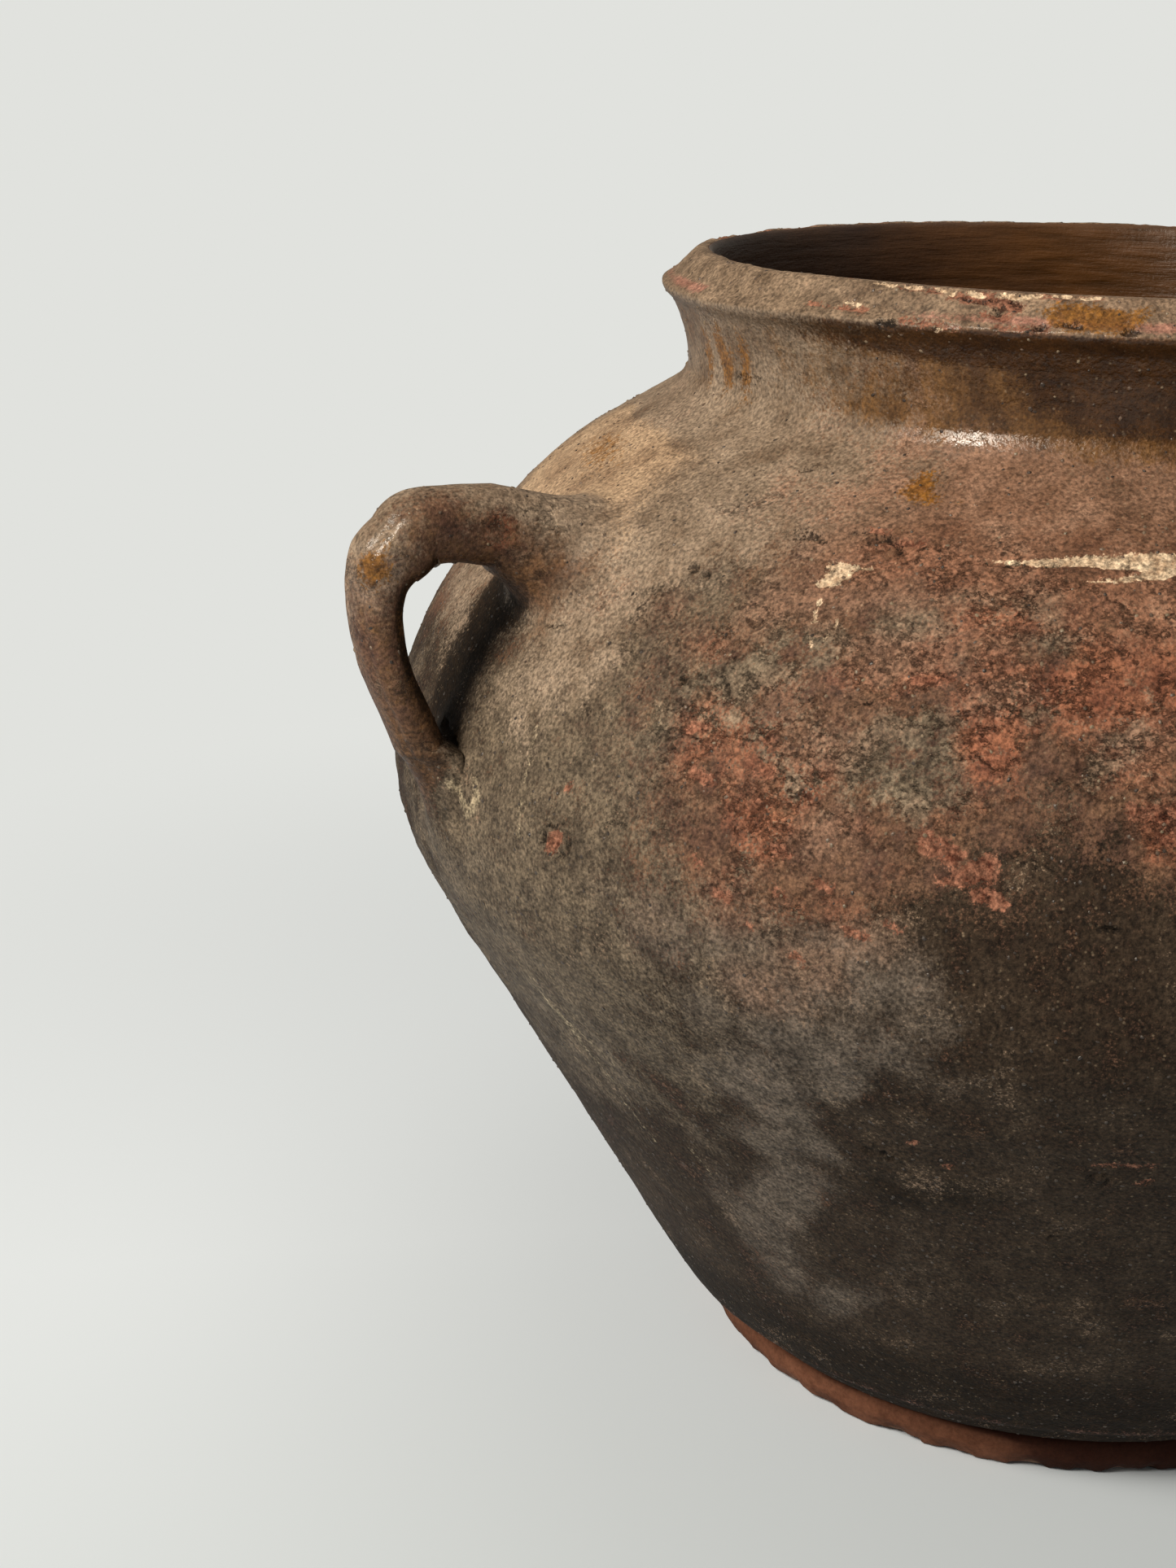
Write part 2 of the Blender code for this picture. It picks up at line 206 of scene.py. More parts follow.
vessel = {
    "wallThickness": 0.0085,
    "wallStart": 0.0111,
    "wallFootRadius": 0.1003,
    "bellyRadius": 0.190,
    "bellyHeight": 0.168,
    "bellyJoint": 0.150,
    "neckRadius": 0.1125,
    "neckHeight": 0.270,
    "neckJoint": 0.25749,
    "neckFlare": 0.0025,
    "rimJoint": 0.283,
    "mouthRadius": 0.1045,
    "straightAbove": 0.262,  # the inside of the neck is straight from here up
    "columns": 600,          # faces round the pot
    "columnBias": 0.5,       # how much closer they stand on the best seen side
    "denseSide": -150.0,     # that side, in degrees
    "settle": 0.00042,       # the whole skin lies this far inside the solids
}
v = vessel
lowerShares = ((0.0, 0.0), (0.03, 0.060), (0.082, 0.142), (0.159, 0.224), (0.312, 0.378), (0.503, 0.574),
               (0.694, 0.770), (0.847, 0.922), (0.924, 0.976), (1.0, 1.0))
upperShares = ((0.0, 0.0), (0.118, 0.013), (0.206, 0.043), (0.382, 0.145), (0.544, 0.297), (0.676, 0.444),
               (0.779, 0.594), (0.853, 0.746), (0.912, 0.880), (0.956, 0.964), (1.0, 1.0))
neckShares = ((0.0, 0.0), (0.35, 0.08), (0.69, 0.42), (1.0, 1.0))
# millimetres, from under the ridge over the crest and into the mouth
rimSection = ((115.0, 283.0), (116.9, 286.8), (119.0, 289.0), (119.75, 290.5), (119.3, 292.0),
              (116.0, 294.3), (112.4, 298.2), (111.0, 299.3), (109.2, 299.85), (107.0, 299.4),
              (105.7, 297.6), (104.7, 292.0), (104.4, 287.0), (104.5, 283.0))


def radiusAt(z):
    if z <= v["bellyHeight"]:
        gained = smoothThrough(lowerShares, (z - v["wallStart"]) / (v["bellyHeight"] - v["wallStart"]))
        return v["wallFootRadius"] + gained * (v["bellyRadius"] - v["wallFootRadius"])
    if z <= v["neckHeight"]:
        lost = smoothThrough(upperShares, (z - v["bellyHeight"]) / (v["neckHeight"] - v["bellyHeight"]))
        return v["bellyRadius"] - lost * (v["bellyRadius"] - v["neckRadius"])
    flared = smoothThrough(neckShares, (z - v["neckHeight"]) / (v["rimJoint"] - v["neckHeight"]))
    return v["neckRadius"] + flared * v["neckFlare"]


outlineSteps = 2720
outlineZ = np.linspace(v["wallStart"], v["rimJoint"], outlineSteps)
outlineR = np.array([radiusAt(z) for z in outlineZ])
outlineSlope = np.gradient(outlineR, outlineZ)


def wallRadius(z):
    return np.interp(z, outlineZ, outlineR)


def innerRadius(z):
    slope = np.interp(z, outlineZ, outlineSlope)
    return wallRadius(z) - v["wallThickness"] * np.sqrt(1 + slope * slope)


# distance walked up the outside from the table, in millimetres: marks are placed by it
footStep = (0.0975, 0.0110)
rimOut = np.array(rimSection[:9]) / 1000
walkR = np.concatenate([[footStep[0], footStep[0]], outlineR, rimOut[1:, 0]])
walkZ = np.concatenate([[0, footStep[1]], outlineZ, rimOut[1:, 1]])
walk = np.concatenate([[0], np.cumsum(np.hypot(np.diff(walkZ), np.diff(walkR)))]) * 1000


# Marks, each judged one by one:
# (degrees round, mm up the outside, half width mm, half height mm, tilt in degrees, strength)

marks = {
    "rust": [
        (-162.6, 266, 9, 6, -3, 0.9), (-157, 262, 9, 6, 4, 0.85), (-164.5, 262, 7, 8, 0, 0.8),
        (-161.6, 297, 12, 5, 7, 0.4), (-146.4, 291, 7, 3, 7, 0.7), (-138.9, 286, 12, 5, 5, 0.6),
        (-132.9, 280, 12, 7, 5, 0.65), (-138.9, 263, 11, 3, 36, 0.8), (-126.6, 264, 13, 9, 8, 1),
        (-133.4, 249, 10, 7, -79, 1), (-123.8, 254, 10, 8, 87, 0.65), (-154.9, 244, 9, 6, -1, 0.8),
        (-154.1, 234, 9, 8, -59, 0.8), (-150.2, 243, 8, 5, -20, 0.45), (-150.9, 230, 10, 7, 7, 0.5),
        (-145.2, 235, 11, 8, 5, 0.5), (-147.7, 221, 6, 4, 9, 0.75), (-149.8, 213, 5, 4, 12, 0.5),
        (-137.8, 235, 9, 7, 7, 0.5), (-131.5, 266, 8, 5, 4, 0.6), (-140.6, 221, 11, 8, 8, 0.5),
        (-143.5, 262, 12, 8, 0, 0.5), (-142.1, 210, 9, 5, 12, 0.7), (-145.1, 191, 7, 4, 25, 0.5),
        (-148.5, 226, 10, 7, 0, 0.7), (-152, 238, 10, 9, 0, 0.7), (-131.2, 218, 6, 5, 12, 0.45),
        (-123, 280, 11, 7, 7, 0.45), (-123, 231, 7, 6, 2, 0.6), (-116, 262, 12, 10, 0, 0.5),
        (-149.4, 254, 8, 6, -3, 0.4), (-130, 284, 20, 8, 4, 0.75), (-143, 288, 16, 6, 6, 0.7),
        (-120, 282, 18, 8, 0, 0.4), (-127, 262, 15, 10, 6, 1), (-136.5, 272, 11, 7, 10, 0.8),
        (-133, 258, 13, 9, 10, 1), (-122.5, 267, 12, 9, 0, 0.9), (-138.5, 268, 9, 5, 10, 0.9),
        (-134.5, 267, 8, 5, 0, 0.9), (-157.5, 276, 8, 5, -10, 0.7), (-163, 264, 6, 6, -40, 0.6)],
    "grey": [
        (-142.2, 273, 12, 7, 5, 0.8), (-137, 282, 5, 3, 5, 0.5), (-153, 256, 16, 6, 8, 0.6),
        (-139.5, 242, 11, 11, -20, 0.8), (-138, 252, 7, 5, -1, 0.6), (-130.7, 271, 7, 4, 5, 0.6),
        (-125.9, 253, 4, 2, 5, 0.8), (-158, 277, 9, 6, 0, 0.6), (-131, 283, 12, 5, 0, 0.5),
        (-130, 255, 4, 2, 6, 0.6), (-162.2, 242, 14, 10, -27, 0.5), (-148.1, 264, 10, 5, 6, 0.7),
        (-161.7, 192, 18, 7, 22, 0.8), (-156, 208, 12, 7, 17, 0.5), (-141.7, 231, 7, 5, 8, 0.4)],
    "soot": [
        (-129.3, 243, 7, 5, 7, 0.45), (-164.5, 208.3, 4, 4.4, 0, 0.85), (-126, 232, 9, 6, 8, 0.5),
        (-136, 303, 16, 4, 8, 0.8), (-127, 285, 22, 6, 5, 0.4), (-158.8, 271, 10, 6, -30, 0.9),
        (-160, 236, 8, 7, 0, 0.5), (-129.6, 310, 10, 4, 7, 0.45), (-159.1, 265, 8, 5, -1, 0.5),
        (-164.7, 260, 13, 3, -38, 0.6), (-151.5, 216, 4, 3, 12, 0.7), (-142.1, 221, 9, 3, 10, 0.3),
        (-126.4, 222, 9, 6, 4, 0.8), (-143, 253, 4, 3, 2, 0.4), (-157, 221, 9, 8, -33, 0.4),
        (-132.5, 204, 16, 8, 8, 0.4), (-125.5, 205, 14, 12, 10, 0.7)],
    "bloom": [
        (-142, 265, 13, 8, 0, 1), (-133.5, 259, 12, 8, 0, 0.9), (-124, 252, 10, 8, 0, 0.9),
        (-145, 243, 12, 8, 0, 0.8), (-146, 190, 14, 9, 5, 0.75), (-143, 198, 13, 9, 0, 0.7),
        (-149.5, 207, 14, 10, 0, 0.65), (-140.5, 206, 13, 8, 0, 0.65), (-155.5, 196, 11, 9, 0, 0.6),
        (-148.5, 277, 18, 7, 8, 1), (-143.5, 279, 12, 8, 0, 1), (-137, 268, 18, 8, 6, 0.9),
        (-159.5, 203, 10, 7, 0, 0.5), (-143, 223, 12, 8, 0, 0.8), (-150, 250, 14, 8, 0, 0.6),
        (-143, 252, 12, 8, 0, 0.6), (-157, 262, 9, 6, 0, 0.5), (-157.5, 222, 8, 6, 0, 0.5)],
    # dark marks: darker patches of the clay, and painted shade where the lower left wall dips in (the long
    # marks at -158 and -154.8)
    "dark": [
        (-158.3, 271, 9, 5, -25, 0.5), (-158, 161, 19, 8, 51, 0.75), (-154.8, 134, 22, 9, 76, 0.5),
        (-139, 129, 12, 9, 0, 0.9), (-135, 134, 13, 7, 0, 0.85), (-172.5, 201, 5, 8, -20, 0.5),
        (-128.5, 236, 7, 6, 0, 0.35)],
    "brown": [
        (-176.8, 268, 13, 12, 0, 1.1), (-174.2, 268, 10, 8, 0, 0.5), (176, 270, 10, 10, 0, 0.4),
        (3, 266, 14, 12, 0, 0.8)],
    # painted shadow of each handle on the wall beneath it, put in as soot and darkness with less film and
    # veil
    "handleShadow": [
        (175.6, 243, 9, 26, 21, 1.5), (178.2, 221, 7, 14, 10, 1.5), (174.5, 228, 7, 9, 0, 1.5),
        (178.8, 251, 7, 5, 0, 1.3), (-179.6, 258, 5, 5, 0, 1.3), (3, 240, 9, 22, -15, 0.9)],
    "cloud": [
        (-154.5, 195, 13, 10, 0, 0.9), (-148.5, 199, 13, 9, 0, 0.75), (-145, 192, 15, 10, 0, 0.9),
        (-151, 180, 10, 8, 0, 0.7), (177.5, 199, 9, 13, 0, 0.8), (-159, 201, 9, 7, 0, 0.6),
        (-141.5, 202, 15, 7, 10, 0.8), (-138.5, 196, 13, 9, 15, 0.75), (-136, 189, 11, 8, 0, 0.5),
        (-136.5, 183, 11, 7, 0, 0.45), (-139, 181, 14, 9, 0, 0.75), (-143.5, 177, 16, 10, 0, 1),
        (-142, 167, 9, 6, 30, 0.9), (-148.5, 160, 15, 11, 30, 0.95), (-147.2, 151, 11, 9, 60, 0.9),
        (-146.5, 141, 9, 9, 60, 1), (-149.5, 136, 10, 10, 60, 0.9), (-148.8, 119, 13, 8, 70, 0.9),
        (-151.5, 108, 13, 8, 60, 0.85), (-154.5, 98, 15, 8, 60, 0.8), (-154.5, 88, 14, 8, 60, 0.75),
        (-158, 106, 10, 9, 50, 0.5), (-156.5, 128, 9, 7, 50, 0.4), (-154, 77, 15, 8, 60, 0.75),
        (-149.5, 71, 12, 6, 60, 0.7), (-145.5, 77, 8, 6, 60, 0.5), (-179.1, 183, 44, 5, 34, 0.8),
        (-171.9, 155, 13, 5, 42, 1), (-165.2, 145, 10, 5, -80, 0.8), (-171.5, 179, 30, 6, 35, 0.5),
        (-135, 174, 12, 9, 49, 0.3), (-138.9, 97, 24, 7, 75, 0.25)],
    "ochre": [
        (-145.6, 312, 6, 5, -56, 0.9), (-130, 358, 9, 4, 3, 1.3), (166, 297, 22, 7, -2, 0.55),
        (171, 338, 9, 4, 80, 0.7), (176.8, 338, 10, 4, 80, 0.85), (-178, 337, 10, 4, 80, 0.7),
        (-141.1, 308, 2, 2, 2, 0.4)],
    "gloss": [
        (-144, 326.5, 6, 2.5, 3, 1.1), (-143, 328, 9, 5, 0, 0.3), (-148, 358.5, 9, 3, 0, 0.35),
        (-127, 337, 12, 7, 0, 0.3), (-130, 349, 40, 5, 0, 0.4)],
}
# strokes: (degrees, mm up, degrees, mm up, radius at one end, radius at the other)
strokes = {
    "cream": [
        (-137.2, 290.8, -131, 293, 0.15, 1.2), (-131, 293, -125.5, 294.4, 1.2, 2.1),
        (-125.5, 294.4, -119, 295.6, 2.1, 2.7), (-119, 295.6, -110, 296.5, 2.7, 0.2),
        (-128.2, 288.2, -125.6, 289.4, 0.25, 0.8), (-125.6, 289.4, -122.3, 291.5, 0.8, 1.4),
        (-122.3, 291.5, -119.5, 294, 1.4, 1.4), (-149.9, 285.1, -146.4, 285.7, 0.9, 0.5),
        (-149.6, 282.8, -148, 283.3, 1.3, 0.8), (-149.9, 280.3, -148.7, 281.6, 1, 1.1),
        (-149.3, 276, -149.5, 274.3, 0.4, 0.3), (-149.4, 272.6, -149.1, 271, 0.5, 0.6),
        (-148.9, 266.6, -148.6, 265, 0.4, 0.35), (-147.3, 271.9, -147.3, 270, 0.35, 0.25),
        (-147.6, 268.2, -147.8, 267, 0.25, 0.2), (-157, 364.5, -154, 364, 0.2, 0.5),
        (-152.5, 364.5, -150, 363.8, 0.5, 0.3), (-148.5, 364.2, -146.5, 363, 0.5, 0.7),
        (-144.5, 363.6, -143, 362.8, 0.5, 0.5), (-141, 363.5, -138.5, 363, 0.6, 0.9),
        (-138.5, 363, -136.5, 364.2, 0.9, 0.4), (-135, 364.6, -131.5, 364, 0.4, 0.7),
        (-131.5, 364, -129.5, 365, 0.7, 0.3), (-146.6, 351.9, -146.2, 352.1, 0.5, 0.4),
        (-159, 357.6, -157, 357.2, 0.2, 0.35)],
    "salmon": [
        (-136.6, 227.5, -134.9, 225, 2.6, 2.2), (-134.6, 221.5, -132.9, 223.5, 1.4, 2.6),
        (-135.6, 220, -133.9, 220.6, 0.9, 1.4), (-133.2, 218.5, -131.7, 217.4, 1.6, 1.8),
        (-124.3, 238, -121, 236.6, 1.2, 3.2), (-122.2, 232.4, -120, 233, 1.6, 1.4),
        (-146, 293.4, -143.2, 294.4, 0.8, 1.2), (-148.4, 296.3, -146.6, 296.5, 0.5, 0.9),
        (-164.9, 206.6, -164.3, 209.6, 2.1, 1.8), (-164.5, 220.8, -164.3, 221.4, 0.9, 0.7),
        (-149.1, 229.4, -148.6, 229.6, 0.6, 0.4), (-139.9, 261, -137.2, 262.4, 0.8, 1.1),
        (-146.2, 211.8, -145.4, 211.2, 0.9, 0.7), (-143.4, 215.6, -142.4, 214.6, 1.2, 0.8),
        (-141, 206.8, -140, 206, 0.9, 1.1), (-144.4, 199, -143.6, 198, 0.8, 0.5),
        (-150.4, 209, -149.2, 208, 0.8, 1), (-152.6, 214.6, -151.8, 213.8, 0.6, 0.8),
        (-148, 203.6, -147.4, 202.8, 0.6, 0.5), (-138.6, 209.8, -137.8, 208.8, 0.7, 0.9),
        (-146.8, 220.8, -145.4, 219.8, 1, 0.8), (-153.8, 232, -152, 231, 1.2, 0.9),
        (-155.6, 241, -154.2, 242.4, 1.1, 0.9), (-150, 236.6, -148.4, 235.8, 0.8, 1.1),
        (-151.2, 208, -150.8, 208.6, 0.5, 0.5), (-127.5, 290, -127.2, 290.3, 0.3, 0.3),
        (-134.8, 143.6, -134.2, 144.2, 0.5, 0.4), (-137.4, 150, -137, 150.6, 0.5, 0.3),
        (-124.3, 151.8, -120.2, 152.8, 0.25, 0.5), (-121, 146, -120.4, 146.6, 0.6, 0.4),
        (-146.5, 362, -141.5, 361.4, 1, 2.2), (-141.5, 361.4, -138.5, 360, 2.2, 1.6),
        (-142, 357, -139.6, 356.4, 0.9, 1.2), (-153, 363.6, -148, 363.4, 0.7, 0.9),
        (-137, 363.8, -130, 364.2, 0.6, 1), (-164, 356, -156, 355.8, 0.3, 0.8),
        (-150.6, 353.6, -144, 353, 0.8, 0.5), (-140, 353.6, -135, 353.9, 0.7, 0.9)],
    "scuff": [
        (-177.9, 212.5, -175.6, 204.8, 1.1, 1.5), (-175.2, 213.4, -174.3, 209.6, 1.1, 1.5),
        (-174.3, 209.6, -175.2, 204, 1.5, 0.9), (-169.7, 230.5, -168.4, 205.5, 0.3, 0.45),
        (-172, 157.5, -169.6, 151, 0.6, 0.8), (-172.6, 168, -170, 150, 0.5, 0.9),
        (-170, 150, -167.6, 134, 0.9, 0.4), (-171, 163, -168.8, 146, 0.4, 0.6),
        (-168.2, 141, -165.6, 124, 0.5, 0.3), (-167.6, 126, -165.2, 112, 0.5, 0.4),
        (-160, 118, -157.4, 104, 0.4, 0.3), (-169, 150.4, -165, 143, 0.7, 0.4),
        (-173.2, 161.5, -171.8, 158.5, 0.4, 0.4)],
    # near-black pits, rings and cracks, and painted shadow along the raised edges of flakes
    "darkMarkAndShadow": [
        (-154.9, 290.2, -153.4, 292, 0.3, 0.8), (-153.4, 292, -151.6, 290.8, 0.8, 0.4),
        (-147.8, 292.6, -146.2, 294.6, 0.5, 0.9), (-146.2, 294.6, -144.7, 292.6, 0.9, 0.6),
        (-144.7, 292.6, -144.4, 290.2, 0.6, 0.3), (178, 220.5, 179.5, 218.6, 1.3, 0.9),
        (-179.6, 218.4, -178.6, 217.2, 0.9, 0.6), (-155.6, 291.4, -154.3, 292.9, 0.3, 0.4),
        (-154.3, 292.9, -152.6, 292.6, 0.4, 0.5), (-152.6, 292.6, -151.5, 291.2, 0.5, 0.3),
        (-149.6, 294.6, -148.6, 295.7, 0.3, 0.5), (-148.6, 295.7, -147, 294.9, 0.5, 0.45),
        (-147, 294.9, -146.3, 293.5, 0.45, 0.3), (-174.6, 253.2, -172.8, 254.4, 0.3, 0.55),
        (-159.9, 310.6, -158.8, 312.4, 0.25, 0.45), (-165.6, 206, -165.8, 209.6, 0.5, 0.7),
        (-165.4, 211.2, -164, 212.4, 0.7, 0.6), (-163.2, 211, -163, 207.6, 0.5, 0.7),
        (-163.4, 205.8, -164.8, 205, 0.6, 0.5), (-138.3, 290.2, -134.2, 290.8, 0.2, 0.3),
        (-132, 291.6, -129.6, 292.2, 0.2, 0.25), (-162.7, 277.1, -162.5, 277.2, 1.1, 1.2),
        (-160.9, 276.3, -160.8, 276.3, 1.3, 1.2), (-153.2, 352.4, -151.8, 352.2, 1, 1.3),
        (-140.6, 358, -140.2, 359.6, 1, 0.7), (-143.4, 360.6, -142.6, 361, 0.5, 0.6),
        (-141.8, 362, -141.2, 362.4, 0.5, 0.4), (-144.8, 361.8, -144.2, 361.4, 0.4, 0.5),
        (-139.4, 361.6, -138.8, 361, 0.5, 0.6), (-135.9, 354.1, -135.5, 354.6, 1.1, 0.9),
        (-133.6, 355.2, -131.6, 355, 0.6, 0.9), (-126.9, 354, -126, 354.2, 1.1, 0.8),
        (-143.9, 253.5, -142.4, 254.6, 0.3, 0.4), (-133.2, 254.8, -132.2, 256.2, 0.2, 0.3),
        (-164.9, 238, -164.8, 238.2, 0.5, 0.5), (-157.9, 250.8, -157.7, 251.6, 0.7, 0.6),
        (-141.2, 143.6, -139.9, 144.6, 0.35, 0.5), (-139.9, 144.6, -138.9, 142.6, 0.5, 0.5),
        (-138.9, 142.6, -139.9, 141.4, 0.5, 0.35), (-139.9, 141.4, -141.2, 143.6, 0.35, 0.35),
        (-124.5, 147.7, -123.5, 147.9, 0.4, 0.4), (-123.5, 147.9, -123.2, 144.6, 0.4, 0.45),
        (-123.2, 144.6, -124.6, 144.4, 0.45, 0.4), (-124.6, 144.4, -124.5, 147.7, 0.4, 0.4),
        (-126, 214.4, -124.6, 213.8, 0.5, 0.6), (-131.6, 133.5, -131.2, 133.7, 0.45, 0.3),
        (-126.9, 121, -126.4, 121.3, 0.4, 0.3), (179.4, 333.2, -178, 333.6, 0.2, 0.35),
        (-178, 333.6, -174.4, 334.4, 0.35, 0.2)],
}
# heights up the outside (mm) at degrees round: where the pale film starts, and where the red ends
filmFrom = ((-180, 240), (-177, 236), (-174, 234), (-171, 226), (-168, 236), (-165, 256), (-162, 280),
            (-157, 290), (-152, 296), (-147, 302), (-142, 308), (-136, 310), (-128, 307), (-118, 302),
            (-100, 290), (-80, 276), (-55, 262), (-30, 244), (0, 226), (30, 240), (60, 272), (90, 284),
            (120, 276), (150, 262), (165, 246), (180, 240))
redDownTo = ((-180, 262), (-170, 250), (-165, 232), (-160, 220), (-154, 204), (-146, 198), (-138, 212),
             (-130, 224), (-120, 226), (-100, 220), (-70, 200), (-40, 222), (0, 248), (35, 216), (70, 200),
             (110, 212), (150, 236), (180, 262))
# how strongly a lichen-grey veil lies on the lower wall round the pot
veiled = ((-180, 0.9), (-172, 1), (-163, 0.95), (-157, 0.72), (-150, 0.42), (-142, 0.18), (-118, 0),
          (-95, 0.1), (-60, 0.5), (-30, 0.8), (20, 0.9), (60, 0.4), (90, 0.2), (130, 0.6), (160, 0.4),
          (175, 0.6), (180, 0.9))
# where the chipping of the rim's crest starts
chippedFrom = ((-180, 369), (-174, 368), (-165, 367), (-155, 366.4), (-148, 365.8), (-140, 365.8),
               (-134, 366.4), (-128, 368), (-120, 369), (-100, 366), (-80, 364), (-60, 368), (-20, 370),
               (10, 365), (40, 363), (60, 368), (100, 366), (130, 364), (150, 368), (180, 369))
# how far the rim rises out of true round the pot, in millimetres
rimRise = ((-180, 0.2), (-170, 0.8), (-155, 1.4), (-140, 1.7), (-110, 1.6), (-80, 0.8), (-40, 0.2), (0, 0),
           (60, 0.3), (120, 0.1), (180, 0.2))
# how much the brown glaze covers the neck, and how dark the neck is under the rim and further down: partly
# pooled glaze, partly painted shade, with a painted shadow under the rim's ridge and more darkness on the
# side turned from the window
glazed = ((-180, 0.32), (-168, 0.36), (-160, 0.52), (-152, 0.68), (-144, 0.88), (-136, 0.98), (-110, 1),
          (-60, 0.7), (0, 0.8), (60, 0.9), (120, 0.6), (160, 0.45), (180, 0.3))
pooledAndShaded = ((-180, 0.32), (-168, 0.5), (-160, 0.78), (-150, 0.95), (-138, 1.1), (-110, 1.2), (-60, 0.8),
          (0, 0.7), (60, 0.9), (120, 0.8), (160, 0.5), (180, 0.32))
pooledAndShadedLow = ((-180, 0), (-156, 0), (-148, 0.15), (-140, 0.52), (-132, 0.86), (-124, 0.95), (-100, 0.8),
             (-60, 0.2), (0, 0.4), (60, 0.6), (120, 0.2), (160, 0), (180, 0))

farSide = (-108, 158)    # the degrees that the light and the viewer never met


def scatteredMarks():
    # the far side gets the same sort of weathering
    rng = np.random.default_rng(41)
    # how many, and between which heights
    softMarks = {"rust": (26, 212, 290), "grey": (16, 188, 285), "soot": (14, 200, 262),
                 "cloud": (12, 70, 190), "ochre": (6, 290, 345), "gloss": (7, 318, 334)}
    for kind, (count, low, high) in softMarks.items():
        for _ in range(count):
            marks[kind].append((rng.uniform(*farSide), rng.uniform(low, high), rng.uniform(5, 16),
                                rng.uniform(3, 9), rng.uniform(-30, 60), rng.uniform(0.4, 1.0)))
    sharpSizes = {"salmon": 1.6, "darkMarkAndShadow": 0.5, "cream": 0.7, "scuff": 0.6}
    for _ in range(22):
        a, h, turn = rng.uniform(*farSide), rng.uniform(110, 300), rng.uniform(-2.2, 2.2)
        kind = list(sharpSizes)[rng.integers(4)]
        size = sharpSizes[kind]
        strokes[kind].append((a, h, a + turn, h + rng.uniform(-2.5, 2.5), size * rng.uniform(0.4, 1), size))


def between(stations, degrees):
    return np.interp(degrees, [s[0] for s in stations], [s[1] for s in stations])


